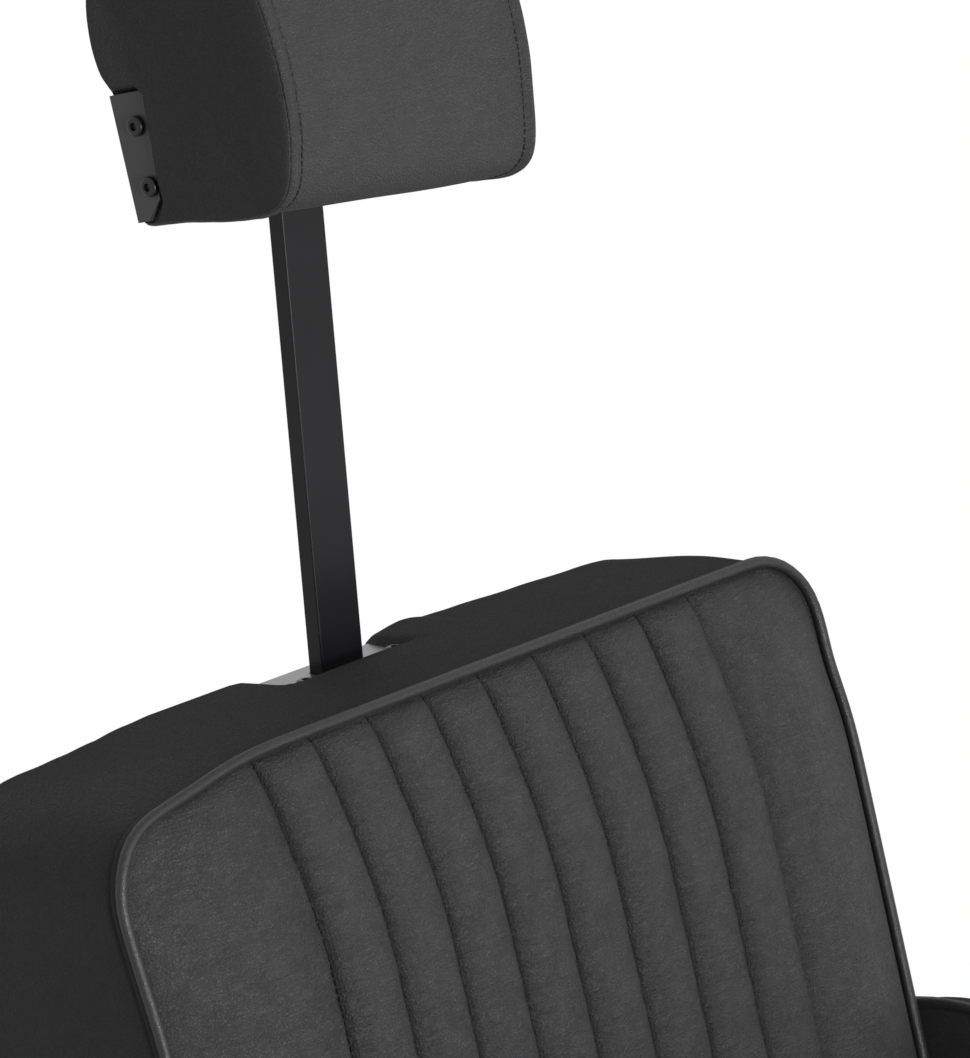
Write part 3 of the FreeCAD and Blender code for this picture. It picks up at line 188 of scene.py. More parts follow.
def seam_masks(n):
    """Along the sewn lines: how dark the line (with painted groove shade) and its fold (a painted shadow) are, and the
    puckered strip beside them.
    """
    apart = n.add("ShaderNodeSeparateXYZ")
    n.link(n.place, apart.inputs[0])
    turns = n.math("DIVIDE", n.math("SUBTRACT", apart.outputs["X"], SEAMS[0]), SEAM_PITCH)
    share = n.math("FRACT", turns, 0.0)
    near = n.math("MINIMUM", share, n.math("SUBTRACT", 1.0, share))
    past_first = n.math("GREATER_THAN", turns, -LINE_PAST)
    inside = n.math("MULTIPLY", past_first, n.math("LESS_THAN", turns, CHANNELS + PUCKER_PAST))
    on_line = n.math("MULTIPLY", inside, n.math("LESS_THAN", turns, CHANNELS + LINE_PAST))
    # Painted shade: the line darkens in the seam's groove, and the fold right of each seam darkens as the shadow of the
    # channel before it.
    line = n.math("MULTIPLY", n.span(near, LINE_HALF, LINE_SOFT, 1.0, 0.0), on_line)
    painted_fold_shadow = n.math("MULTIPLY", n.span(share, 0.02, 0.16, 1.0, 0.0), inside)
    dark = n.math("MAXIMUM", n.math("MULTIPLY", line, LINE_AND_GROOVE_SHADE), n.math("MULTIPLY", painted_fold_shadow, FOLD_SHADOW_PAINT))
    strip = n.math("MAXIMUM", n.span(share, 0.06, 0.42, 1.0, 0.0), n.span(share, 0.86, 0.98, 0.0, 0.5))
    return dark, n.math("MULTIPLY", strip, inside)


# Vinyl: how many times a metre each pattern repeats, and how deep its bumps are
WARP_SCALE, WARP_SHIFT = 90, 0.0030
PEBBLE_SCALE, PEBBLE_DEPTH = 620, 0.00030
FINE_SCALE, FINE_DEPTH = 1500, 0.00016
HAIR_SCALE, CROSS_SCALE, CREASE_DEPTH = 330, 260, 0.00050
SOFT_SCALE, SOFT_DEPTH = 22, 0.0015
TUCK_STRETCH, TUCK_DEPTH = (55, 190, 190), 0.0016
PATCH_SCALE, BLOTCH_SCALE = 70, 9

# The darkest and lightest tone as shares of the vinyl's shade, on sewn and on plain covers
SEWN_TONES, PLAIN_TONES = (0.55, 1.45), (0.78, 1.25)


def vinyl(name, shade, rough, grain, creases, specular, sewn=False):
    """Black upholstery vinyl: pebbled grain, patches of fine creases, faint blotches in colour and gloss; sewn covers
    get painted shade along their seams.
    """
    n = Nodes(name)
    warp = n.noise(WARP_SCALE, 3, 0.6)
    shifted = n.add("ShaderNodeVectorMath", operation="ADD")
    n.link(n.place, shifted.inputs[0])
    spread = n.add("ShaderNodeVectorMath", operation="SCALE")
    n.link(warp, spread.inputs[0])
    spread.inputs["Scale"].default_value = WARP_SHIFT
    n.link(spread.outputs[0], shifted.inputs[1])
    pebble = n.span(n.cells(PEBBLE_SCALE, shifted.outputs[0]), 0.0, 0.30, 0.0, 1.0)
    fine = n.noise(FINE_SCALE, 3, 0.7)
    hair = n.span(n.noise(HAIR_SCALE, 5, 0.75, n.stretch((1, 1, 0.45)), 1.8), 0.38, 0.60, 0.0, 1.0)
    cross = n.span(n.noise(CROSS_SCALE, 5, 0.75, n.stretch((0.35, 1, 1.4)), 1.4), 0.40, 0.60, 0.0, 1.0)
    soft = n.noise(SOFT_SCALE, 4, 0.55)
    worked = n.span(n.noise(PATCH_SCALE, 3, 0.6), 0.40, 0.62, 0.5, 1.0)
    normal = n.bump(soft, 0.35 * creases, SOFT_DEPTH)
    if sewn:
        dark, strip = seam_masks(n)
        tuck = n.span(n.noise(1.0, 4, 0.65, n.stretch(TUCK_STRETCH), 1.2), 0.36, 0.64, 0.0, 1.0)
        normal = n.bump(n.math("MULTIPLY", tuck, strip), 0.95, TUCK_DEPTH, normal)
        worked = n.math("MAXIMUM", worked, n.math("MULTIPLY", strip, 0.9))
    for crease in (cross, hair):
        normal = n.bump(n.math("MULTIPLY", crease, worked), 0.60 * creases, CREASE_DEPTH, normal)
    normal = n.bump(pebble, 0.55 * grain, PEBBLE_DEPTH, normal)
    normal = n.bump(fine, 0.35 * grain, FINE_DEPTH, normal)
    blotch = n.noise(BLOTCH_SCALE, 5, 0.6)
    flecks = n.math("MULTIPLY", n.math("ADD", n.math("MULTIPLY", hair, worked), cross), pebble)
    worn = n.math("ADD", n.math("MULTIPLY", blotch, 0.06), n.math("MULTIPLY", flecks, 0.30))
    tone = n.span(worn, 0.0, 0.45, 0.0, 1.0)
    if sewn:
        # Painted shade along the seams darkens the tone.
        tone = n.math("MULTIPLY", tone, n.math("SUBTRACT", 1.0, dark))
    low, high = SEWN_TONES if sewn else PLAIN_TONES
    n.colour(tone, [c * low for c in shade], [c * high for c in shade])
    n.set(Specular_IOR_Level=specular)
    grazing = n.add("ShaderNodeLayerWeight")
    grazing.inputs["Blend"].default_value = 0.5
    dull = n.span(grazing.outputs["Facing"], 0.45, 0.85, 0.0, 0.40)
    mottled = n.span(blotch, 0.3, 0.7, -0.015, 0.015)
    gloss = n.math("ADD", mottled, n.span(pebble, 0, 1, rough + 0.08, rough - 0.04))
    return n.finish(normal, n.math("MINIMUM", n.math("ADD", gloss, dull), 1.0))


def coated_steel(name, shade, rough, metallic=0.25, peel=0.35, specular=0.5):
    """Powder coated steel: fine orange peel, dust in the gloss, thin scuffs."""
    n = Nodes(name)
    peel_map = n.noise(900, 3, 0.55)
    scuff = n.span(n.noise(60, 6, 0.75, n.stretch((1, 1, 9)), 0.8), 0.58, 0.72, 0.0, 1.0)
    cloud = n.noise(14, 4, 0.6)
    normal = n.bump(peel_map, peel, 0.00012)
    normal = n.bump(scuff, 0.10, 0.00006, normal)
    worn = n.math("MAXIMUM", n.span(cloud, 0.3, 0.8, 0.0, 0.5), n.math("MULTIPLY", scuff, 0.8))
    n.colour(worn, shade, [c * 1.9 for c in shade])
    n.set(Metallic=metallic, Specular_IOR_Level=specular)
    gloss = n.math("SUBTRACT", n.span(cloud, 0.3, 0.7, rough - 0.05, rough + 0.07), n.math("MULTIPLY", scuff, 0.08))
    return n.finish(normal, gloss)


def bare_steel(name, shade, rough, brush=(1, 1, 40)):
    """Bright or brushed steel with fine lines, smudges and small pits."""
    n = Nodes(name)
    lines = n.noise(300, 5, 0.7, n.stretch(brush))
    smudge = n.noise(11, 5, 0.6)
    pits = n.span(n.cells(260, feature="F1"), 0.0, 0.12, 0.0, 1.0)
    normal = n.bump(lines, 0.16, 0.00008)
    normal = n.bump(pits, 0.10, 0.00005, normal)
    n.colour(n.span(smudge, 0.3, 0.75, 0.0, 1.0), [c * 0.86 for c in shade], shade)
    n.set(Metallic=1.0)
    handled = n.math("ADD", smudge, n.math("MULTIPLY", lines, 0.4))
    return n.finish(normal, n.span(handled, 0.4, 1.1, rough - 0.08, rough + 0.1))


def rubber(name, shade, ribs=0.0):
    """Black rubber or plastic: matte and dusty, with moulded ribs where their scale is given."""
    n = Nodes(name)
    dust = n.noise(40, 6, 0.7)
    normal = n.bump(n.noise(1400, 3, 0.6), 0.4, 0.00012)
    if ribs:
        wave = n.add("ShaderNodeTexWave", wave_type="BANDS", bands_direction="X", wave_profile="SIN")
        wave.inputs["Scale"].default_value = ribs
        n.link(n.place, wave.inputs["Vector"])
        normal = n.bump(wave.outputs["Fac"], 0.9, 0.0012, normal)
    n.colour(n.span(dust, 0.35, 0.8, 0.0, 1.0), shade, [c * 2.2 for c in shade])
    n.set(Specular_IOR_Level=0.3)
    return n.finish(normal, n.span(dust, 0.3, 0.7, 0.62, 0.82))


def plywood(name, shade):
    """Plywood sealed black: long grain lines under a satin coat."""
    n = Nodes(name)
    grain = n.noise(30, 8, 0.65, n.stretch((1, 6, 0.6)), 0.6)
    normal = n.bump(grain, 0.3, 0.0003)
    n.colour(n.span(grain, 0.3, 0.7, 0.0, 1.0), [c * 0.6 for c in shade], shade)
    return n.finish(normal, n.span(grain, 0.2, 0.8, 0.55, 0.75))


def thread(name, shade):
    """Sewing thread: fine twist, matte."""
    n = Nodes(name)
    twist = n.noise(3200, 2, 0.5)
    n.colour(twist, [c * 0.5 for c in shade], shade)
    n.set(Specular_IOR_Level=0.2)
    return n.finish(n.bump(twist, 0.5, 0.0001), n.span(twist, 0.2, 0.8, 0.6, 0.9))


# One black vinyl in lit and shaded copies: the channelled and headrest vinyls are painted lighter for the lit front
# faces, and the plain vinyl is painted darker as shade on the boxing, arms, rear panel and headrest ends.
CHANNEL_VINYL = vinyl("vinyl_channelled", (0.038, 0.038, 0.039), rough=0.40, grain=1.6, creases=1.3,
                      specular=0.26, sewn=True)
PLAIN_VINYL_PAINTED_SHADE = vinyl("vinyl_plain", (0.017, 0.017, 0.018), rough=0.50, grain=0.5, creases=0.4, specular=0.12)
HEADREST_VINYL = vinyl("vinyl_headrest", (0.034, 0.034, 0.035), rough=0.44, grain=1.8, creases=0.8, specular=0.26)
PIPING_VINYL = vinyl("vinyl_piping", (0.017, 0.017, 0.018), rough=0.32, grain=0.5, creases=0.3, specular=0.32)
THREAD = thread("black_thread", (0.012, 0.012, 0.013))
SLOT_MATERIALS = {
    "plywood": plywood("plywood", (0.032, 0.029, 0.026)),
    "bar_steel": coated_steel("bar_steel", (0.007, 0.007, 0.008), rough=0.30, metallic=0.0, peel=0.25, specular=0.15),
    "plate_steel": bare_steel("plate_steel", (0.24, 0.24, 0.245), rough=0.40, brush=(40, 1, 1)),
    "frame_steel": coated_steel("frame_steel", (0.016, 0.016, 0.017), rough=0.45),
    "fastener": coated_steel("fastener", (0.010, 0.010, 0.011), rough=0.32, metallic=0.5, peel=0.15),
    "chrome": bare_steel("chrome", (0.72, 0.72, 0.74), rough=0.14),
    "bearing_steel": bare_steel("bearing_steel", (0.48, 0.48, 0.50), rough=0.30),
    "gland_steel": bare_steel("gland_steel", (0.36, 0.36, 0.38), rough=0.34),
    "strut_paint": coated_steel("strut_paint", (0.012, 0.012, 0.012), rough=0.25, metallic=0.1, peel=0.1),
    "cast_paint": coated_steel("cast_paint", (0.018, 0.018, 0.019), rough=0.42, metallic=0.2, peel=0.8),
    "base_steel": coated_steel("base_steel", (0.016, 0.016, 0.017), rough=0.5),
    "cover_steel": coated_steel("cover_steel", (0.014, 0.014, 0.015), rough=0.22, metallic=0.3, peel=0.12),
    "rubber": rubber("rubber", (0.018, 0.018, 0.018), ribs=55.0),
    "cap_plastic": rubber("cap_plastic", (0.016, 0.016, 0.016)),
    "vinyl_channelled": CHANNEL_VINYL,
    "vinyl_plain": PLAIN_VINYL_PAINTED_SHADE,
    "vinyl_piping": PIPING_VINYL,
}
NODE_MATERIALS = {
    "headrest_bracket": coated_steel("bracket_steel", (0.030, 0.030, 0.031), rough=0.36, metallic=0.0, peel=0.2,
                                     specular=0.3),
}
USUAL_BEVEL = 0.0006
BEVELS = {
    "headrest_bar": 0.0010, "base_cover": 0.0, "ram": 0.0012, "pump_housing": 0.0015, "swivel_plate": 0.0012,
    "base_plate": 0.0015,
}


def dress_cad_nodes():
    """Each CAD node takes its slot's finish, and a small bevel that catches the light."""
    slots = {s["node"]: s["material_slot"] for s in frame["record"]["subparts"]}
    for name, node in frame["nodes"].items():
        material = NODE_MATERIALS.get(name, SLOT_MATERIALS[slots[name]])
        if node.material_slots:
            for place in node.material_slots:
                place.material = material
        else:
            node.data.materials.append(material)
        width = BEVELS.get(name, USUAL_BEVEL)
        if width:
            bevel = node.modifiers.new("edge", "BEVEL")
            bevel.width = width
            bevel.segments = 2
            bevel.limit_method = "ANGLE"
            bevel.angle_limit = math.radians(40)


# Mesh helpers

def new_piece(name, vertices, faces, material):
    """A smooth shaded mesh piece."""
    mesh = bpy.data.meshes.new(name)
    mesh.from_pydata([tuple(v) for v in vertices], [], faces)
    mesh.update()
    piece = bpy.data.objects.new(name, mesh)
    bpy.context.scene.collection.objects.link(piece)
    mesh.materials.append(material)
    for polygon in mesh.polygons:
        polygon.use_smooth = True
    return piece


def side_faces(levels, count):
    """Faces between rings of count vertices that follow each other in the vertex list."""
    faces = []
    for level in range(levels - 1):
        a, b = level * count, (level + 1) * count
        for k in range(count):
            m = (k + 1) % count
            faces.append((a + k, a + m, b + m, b + k))
    return faces


def closed_rings(rings):
    """Vertices and faces of a skin through rings of points, closed at both ends by a fan."""
    count = len(rings[0])
    vertices = [v for ring in rings for v in ring]
    faces = side_faces(len(rings), count)
    for start, ring in ((0, rings[0]), ((len(rings) - 1) * count, rings[-1])):
        centre = len(vertices)
        vertices.append(sum(ring, Vector()) / count)
        faces += [(centre, start + k, start + (k + 1) % count) for k in range(count)]
    return vertices, faces


def tube(points, radius, closed, sides):
    """Vertices and faces of a tube along points, closed into a loop or capped at its ends."""
    count = len(points)
    vertices = []
    side = None
    for i, point in enumerate(points):
        before = points[i - 1] if closed or i else point
        after = points[(i + 1) % count] if closed or i + 1 < count else point
        along = (after - before).normalized()
        if side is None:
            side = along.orthogonal().normalized()
        side = (side - along * side.dot(along)).normalized()
        other = along.cross(side)
        for k in range(sides):
            turn = 2 * math.pi * k / sides
            vertices.append(point + (side * math.cos(turn) + other * math.sin(turn)) * radius)
    faces = side_faces(count, sides)
    if closed:
        last = (count - 1) * sides
        faces += [(last + k, last + (k + 1) % sides, (k + 1) % sides, k) for k in range(sides)]
    else:
        faces.append(tuple(range(sides))[::-1])
        faces.append(tuple(range((count - 1) * sides, count * sides)))
    return vertices, faces


def merged(parts):
    """Vertices and faces of several parts as one."""
    vertices, faces = [], []
    for part_vertices, part_faces in parts:
        shift = len(vertices)
        vertices += part_vertices
        faces += [tuple(i + shift for i in face) for face in part_faces]
    return vertices, faces


def walk(points, step):
    """Points evenly spaced along a line of points, with the direction at each."""
    placed = []
    travelled, want = 0.0, step / 2
    for a, b in zip(points, points[1:]):
        length = (b - a).length
        while length > 0 and travelled + length > want:
            placed.append((a.lerp(b, (want - travelled) / length), (b - a).normalized()))
            want += step
        travelled += length
    return placed


def stitches(lines, pitch=0.0042, share=0.66, radius=0.00035):
    """Short thread dashes along each line, each a share of the pitch long."""
    parts = []
    for line in lines:
        for middle, along in walk(line, pitch):
            half = along * (pitch * share / 2)
            dash = [middle - half, middle - half * 0.6, middle + half * 0.6, middle + half]
            parts.append(tube(dash, radius, False, 6))
    return merged(parts)


def filled_in(points, step):
    """A closed line of flat points with more points between them, about a step apart."""
    full = []
    for a, b in zip(points, points[1:] + points[:1]):
        count = max(1, round(math.hypot(b[0] - a[0], b[1] - a[1]) / step))
        full += [(a[0] + (b[0] - a[0]) * k / count, a[1] + (b[1] - a[1]) * k / count) for k in range(count)]
    return full


def uneven(x, y, z, height):
    """Slow unevenness of soft material at a place in noise space."""
    return noise.noise(Vector((x, y, z))) * height


def hump(distance, width):
    """1 at no distance, falling to 0 on both sides."""
    return math.exp(-(distance / width) ** 2)


def ease(share):
    """From 0 to 1 with a quick start and a level end."""
    return math.sin(math.pi / 2 * min(1.0, max(0.0, share)))


def smooth(share):
    """From 0 to 1 with a level start and end."""
    share = min(1.0, max(0.0, share))
    return share * share * (3 - 2 * share)


def spaced(low, high, count):
    """Places from low to high in count equal steps."""
    return [low + (high - low) * i / count for i in range(count + 1)]


# Channelled cushions

# Where the grid of a channelled face has its columns, in shares of one channel
CHANNEL_COLUMNS = (0, 0.018, 0.045, 0.085, 0.14, 0.21, 0.3, 0.4, 0.5, 0.6, 0.7, 0.79, 0.86, 0.915, 0.955, 0.982)

# The extra swell of the side panels, and how soon the puffed face reaches its height from the piping
SIDE_SWELL = 0.0055
SWELL_RUN, CHANNEL_RUN = 0.05, 0.016

# Depths of the grooves under the thread and inside the piping
THREAD_GROOVE, THREAD_GROOVE_HALF = 0.0013, 0.0008
WELT_GROOVE, WELT_GROOVE_AT, WELT_GROOVE_HALF = 0.0017, 0.0025, 0.0015


def half_at(depth, length):
    """Half the width of the face, which has round corners, at a depth from its top edge."""
    edge = min(depth, length - depth)
    if edge >= CORNER:
        return HALF_WIDTH
    edge = max(edge, 0.0)
    return HALF_WIDTH - CORNER + math.sqrt(max(0.0, CORNER**2 - (CORNER - edge)**2))


def depth_rows(length, step):
    """Depths of the grid's rows, close together in the corners."""
    turn = sorted([0.0020, 0.0036] + [CORNER * (1 - math.cos(math.pi / 2 * s)) for s in spaced(0, 1, 14)])
    count = round((length - 2 * CORNER) / step)
    return turn + spaced(CORNER, length - CORNER, count)[1:] + [length - d for d in reversed(turn)][1:]


def column_places(half):
    """Places across one row: fixed over the channels, stretched over the side panels."""
    side = [SEAMS[-1] + (half - SEAMS[-1]) * math.sin(math.pi / 2 * s) for s in spaced(0, 1, 16)]
    middle = [a + SEAM_PITCH * s for a in SEAMS[:-1] for s in CHANNEL_COLUMNS]
    return [-x for x in reversed(side)] + middle[1:] + side


def puff(x, depth, length, crown, crown_run, bulge, half):
    """How far the face stands out of the plane of its piping."""
    edge = min(depth, length - depth)
    rise = crown * ease(edge / crown_run)
    if abs(x) >= SEAMS[-1]:
        s = (abs(x) - SEAMS[-1]) / (half - SEAMS[-1])
        swell = SIDE_SWELL * math.sin(math.pi * min(1, s * 1.06)) ** 0.9 if s < 0.94 else 0.0
        return rise * (1 - s**2.8) + swell * ease(edge / SWELL_RUN)
    t = (((x - SEAMS[0]) / SEAM_PITCH) % 1.0) ** 0.90
    arch = max(0.0, 1 - abs(2 * t - 1) ** 4.2) ** 0.70
    return rise + bulge * arch * ease(edge / CHANNEL_RUN)


def crumple(x, depth, edge, seam_gap):
    """Small tucks that run out from the seams, slow unevenness in the foam, and the grooves of thread and welt."""
    slow = uneven(x * 9, depth * 7, 0.3, 0.0011)
    tuck = uneven(x * 26, depth * 130, 5.1, 0.0008) * math.exp(-seam_gap / 0.009)
    ripple = uneven(x * 60, depth * 46, 9.7, 0.00035)
    welt_groove = 0.0006 + WELT_GROOVE * hump(max(0.0, edge) - WELT_GROOVE_AT, WELT_GROOVE_HALF)
    welt_groove *= 1 - smooth(edge / 0.012)
    return (slow + tuck + ripple) * ease(edge / 0.03) - THREAD_GROOVE * hump(seam_gap, THREAD_GROOVE_HALF) - welt_groove


def outline_indexes(rows, columns):
    """Grid indexes round the border: top, right, bottom, left."""
    top = [(0, j) for j in range(columns)]
    right = [(i, columns - 1) for i in range(1, rows)]
    bottom = [(rows - 1, j) for j in range(columns - 2, -1, -1)]
    left = [(i, 0) for i in range(rows - 2, 0, -1)]
    return top + right + bottom + left


def outward(x, depth, length):
    """Direction in the plane of the face, away from its middle, at a border point: across, down."""
    cx = max(-HALF_WIDTH + CORNER, min(HALF_WIDTH - CORNER, x))
    cd = max(CORNER, min(length - CORNER, depth))
    across, down = x - cx, depth - cd
    size = math.hypot(across, down) or 1.0
    return across / size, down / size


def channelled(name, length, step, crown, crown_run, bulge, place, strip):
    """A boxed cushion with a channelled face. place maps (x, depth, out) to a point, strip gives the rest of
    each border point's line over the side of the cushion."""
    depths = depth_rows(length, step)
    grid = []
    for depth in depths:
        half = half_at(depth, length)
        row = []
        for x in column_places(half):
            edge = min(depth, length - depth, half - abs(x))
            gap = min(abs(x - s) for s in SEAMS)
            out = puff(x, depth, length, crown, crown_run, bulge, half)
            row.append((x, depth, out + crumple(x, depth, edge, gap)))
        grid.append(row)
    columns = len(grid[0])
    vertices = [place(*p) for row in grid for p in row]
    faces = []
    for i in range(len(depths) - 1):
        for j in range(columns - 1):
            a = i * columns + j
            faces.append((a, a + columns, a + columns + 1, a + 1))
    front_faces = len(faces)
    border = outline_indexes(len(depths), columns)
    previous = [i * columns + j for i, j in border]
    lines = []
    for i, j in border:
        x, depth, _ = grid[i][j]
        lines.append(strip(x, depth, *outward(x, depth, length)))
    for level in zip(*lines):
        start = len(vertices)
        vertices += level
        current = list(range(start, start + len(level)))
        for k in range(len(level)):
            m = (k + 1) % len(level)
            faces.append((previous[k], previous[m], current[m], current[k]))
        previous = current
    faces.append(tuple(reversed(previous)))
    piece = new_piece(name, vertices, faces, CHANNEL_VINYL)
    # The boxing takes the darker plain vinyl: painted shade on the cushion's sides and top.
    piece.data.materials.append(PLAIN_VINYL_PAINTED_SHADE)
    for polygon in piece.data.polygons[front_faces:]:
        polygon.material_index = 1
    return piece


def seam_lines(length, crown, crown_run, place):
    """The nine sewn lines, sunk a little, from just inside the piping to just inside it at the other end."""
    margin, sunk = 0.0035, 0.0006
    lines = []
    for seam in SEAMS:
        line = []
        for depth in spaced(margin, length - margin, 130):
            edge = min(depth, length - depth)
            line.append(place(seam, depth, crown * ease(edge / crown_run) - sunk))
        lines.append(line)
    return lines


def border_path(length, place):
    """Points along the middle of the piping, round the edge of the face."""
    w, r = HALF_WIDTH + WELT_OUT, CORNER + WELT_OUT
    top, bottom = -WELT_OUT, length + WELT_OUT
    corners = [(w - r, top + r, 0), (w - r, bottom - r, 1), (r - w, bottom - r, 2), (r - w, top + r, 3)]
    points = []
    for cx, cd, quarter in corners:
        for s in spaced(0, 1, 12):
            turn = math.pi / 2 * (quarter + s)
            points.append((cx + r * math.sin(turn), cd - r * math.cos(turn)))
    return [place(x, d) for x, d in filled_in(points, 0.006)]


# Back cushion

TAN_FRONT = math.tan(FRONT_LEAN)
REARWARD = Vector((0, math.cos(TOP_SLOPE), -math.sin(TOP_SLOPE)))


def bar_frame(x, y, z):
    """A point given from the bar's centre line at the headrest plate."""
    c, s = math.cos(BAR_LEAN), math.sin(BAR_LEAN)
    return BAR_ORIGIN + Vector((x, y * c + z * s, z * c - y * s))


# How far behind the piping the pull of the cover has faded
PULL_RUN = 0.07


def drawn_in(x, depth, back):
    """The cover pulls the piped outline in: sides waisted, one shoulder lower, the other narrower."""
    near = 1 - smooth(back / PULL_RUN)
    side = (abs(x) / HALF_WIDTH) ** 5 * near
    low = smooth((BACK_LENGTH - depth) / 0.12)
    if x > 0:
        x -= side * low * (0.0022 + 0.0065 * hump(depth - 0.052, 0.032))
    else:
        x += side * low * 0.0065 * smooth((depth - 0.040) / 0.090)
        depth += 0.0090 * hump(x + 0.240, 0.044) * math.exp(-max(0.0, depth) / 0.022) * near
    return x, depth


def back_edge(x, depth, back=0.0):
    """A point in the leaned plane of the back's piping, as the cover pulls it at a distance behind that plane."""
    x, depth = drawn_in(x, depth, back)
    return Vector((x, BACK_EDGE_Y - depth * TAN_FRONT, BACK_EDGE_Z - depth))


def back_place(x, depth, out):
    return back_edge(x, depth) - REARWARD * out


def reach_to(origin, y_in_bar):
    """Distance along the top's slope from origin to a plane behind the bar."""
    point = bar_frame(0, y_in_bar, 0)
    lean = math.tan(BAR_LEAN)
    gap = point.y + (origin.z - point.z) * lean - origin.y
    return gap / (math.cos(TOP_SLOPE) + math.sin(TOP_SLOPE) * lean)


# The worn rear edge of the top: places across it in metres, and how far it stands over its plane in millimetres
REAR_EDGE = (
    (-0.236, -5.2), (-0.214, -4.7), (-0.193, -3.6), (-0.171, -2.0), (-0.149, 0.1), (-0.127, 1.1), (-0.060, 1.1),
    (0.046, 0.4), (0.066, 2.6), (0.083, 0.2), (0.107, -0.6), (0.157, -2.3), (0.208, -4.0), (0.236, -5.0),
)


def rear_height(x):
    if x <= REAR_EDGE[0][0]:
        return REAR_EDGE[0][1]
    for (x0, h0), (x1, h1) in zip(REAR_EDGE, REAR_EDGE[1:]):
        if x <= x1:
            return h0 + (h1 - h0) * smooth((x - x0) / (x1 - x0))
    return REAR_EDGE[-1][1]


# The hollow for the headrest plate: its depth, how far it goes forward from the rear edge, and to both sides with
# the width of the slope there
HOLLOW_DEPTH, HOLLOW_FORWARD = 0.0090, 0.0345
HOLLOW_RIGHT, HOLLOW_RIGHT_SLOPE = 0.038, 0.005
HOLLOW_LEFT, HOLLOW_LEFT_SLOPE = 0.050, 0.008


def dip(x, back, reach):
    """Height of the top over its plane: the hollow where the headrest plate sits, and the worn edge behind it."""
    from_rear = reach - back
    if x > 0:
        across = hump(max(0.0, x - HOLLOW_RIGHT), HOLLOW_RIGHT_SLOPE)
    else:
        across = hump(max(0.0, -x - HOLLOW_LEFT), HOLLOW_LEFT_SLOPE)
    hollow = across * hump(max(0.0, from_rear - HOLLOW_FORWARD), 0.006)
    worn = rear_height(x) / 1000 * (1 - smooth((from_rear - 0.010) / 0.075))
    lip = 0.0012 * hump(from_rear - 0.050, 0.012) * hump(x, 0.045)
    return worn * (1 - hollow) + lip - HOLLOW_DEPTH * hollow


# The boxing of the back: its seam behind the piping, the roll into the rear, and the tuck under the board
BOXING_SEAM = 0.007
BOXING_NEAR = [0.0007, 0.0014, 0.0022, 0.0032, 0.0045, 0.0056, 0.0064, 0.007, 0.0076, 0.0084, 0.0096, 0.012, 0.016]
REAR_ROLL = 0.009
TUCK_IN, TUCK_BACK, TUCK_DEEP = 0.006, 0.004, 0.0195


def back_strip(x, depth, nx, nd):
    """From the piped edge over the boxing to the rear edge and into the frame's pocket."""
    front = back_edge(x, depth)
    origin = back_edge(x, depth, 1.0)
    inside = nd > 0.5 and abs(x) < BOARD_HALF
    reach = reach_to(origin, BOARD_FRONT if inside else PANEL_REAR)
    normal = Vector((nx, 0, -nd))
    top = max(0.0, -nd)
    seamed = 1 - top * (1 - smooth((x - 0.13) / 0.05))
    straight = reach * 0.9
    line = []
    for back in BOXING_NEAR + spaced(BOXING_NEAR[-1], straight, 32)[1:]:
        s = back / reach
        swell = (0.0018 * top + 0.0014 * (1 - top)) * math.sin(math.pi * min(1.0, s * 1.05)) ** 0.7 if s < 0.95 else 0
        groove = 0.0012 * seamed * hump(back - BOXING_SEAM, 0.0007) + 0.0009 * hump(back - 0.0016, 0.0012)
        slow = uneven(x * 8 + 3, depth * 8, back * 10, 0.0008) * math.sin(math.pi * s)
        hold = origin.lerp(front, 1 - smooth(back / PULL_RUN))
        point = hold + REARWARD * back + normal * (swell - groove + slow)
        if top > 0.6:
            point.z += dip(x, back, reach) * ease((s - 0.1) / 0.3)
        line.append(point)
    hollow = dip(x, reach, reach) if top > 0.6 else 0.0
    for turn in (20, 40, 60, 75, 90):
        a = math.radians(turn)
        at = straight + (reach * 0.1) * math.sin(a)
        drop = REAR_ROLL * (1 - math.cos(a))
        line.append(origin + REARWARD * at - normal * drop + Vector((0, 0, hollow)))
    tucked = line[-1] - normal * TUCK_IN
    line += [tucked, tucked - REARWARD * TUCK_BACK]
    end = reach - 0.001 if inside else reach_to(origin, BOARD_FRONT)
    line.append(origin + REARWARD * end - normal * TUCK_DEEP)
    return line


def back_welt(x, depth):
    """A point of the back's piping, by its place in the leaned face."""
    lean = Vector((0, -math.cos(FRONT_LEAN), math.sin(FRONT_LEAN)))
    edge = back_edge(x, depth * math.cos(FRONT_LEAN))
    return edge + lean * WELT_FORWARD


def make_back():
    cushion = channelled("back_upholstery", BACK_LENGTH, 0.0042, BACK_CROWN, BACK_CROWN_RUN, 0.006,
                         back_place, back_strip)
    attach(cushion, "back")
    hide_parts("back_cushion")
    path = border_path(BACK_LENGTH / math.cos(FRONT_LEAN), back_welt)
    welt = new_piece("back_welt", *tube(path, PIPING, True, 14), PIPING_VINYL)
    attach(welt, "back")
    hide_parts("back_piping")
    lines = seam_lines(BACK_LENGTH, BACK_CROWN, BACK_CROWN_RUN, back_place)
    sewing = new_piece("back_stitching", *stitches(lines), THREAD)
    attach(sewing, "back")


# Seat cushion

SEAT_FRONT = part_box("seat_cushion")[0].y

# Shares of the seat's thickness where its boxing has points: close together round the seam
SEAT_SEAM = 0.085
SEAT_BOXING = [0.01, 0.03, 0.055, 0.075, SEAT_SEAM, 0.095, 0.11, 0.14] + [0.14 + 0.78 * k / 14 for k in range(1, 15)]


def seat_place(x, depth, out):
    return Vector((x, SEAT_FRONT + depth, SEAT_HEIGHT + out))


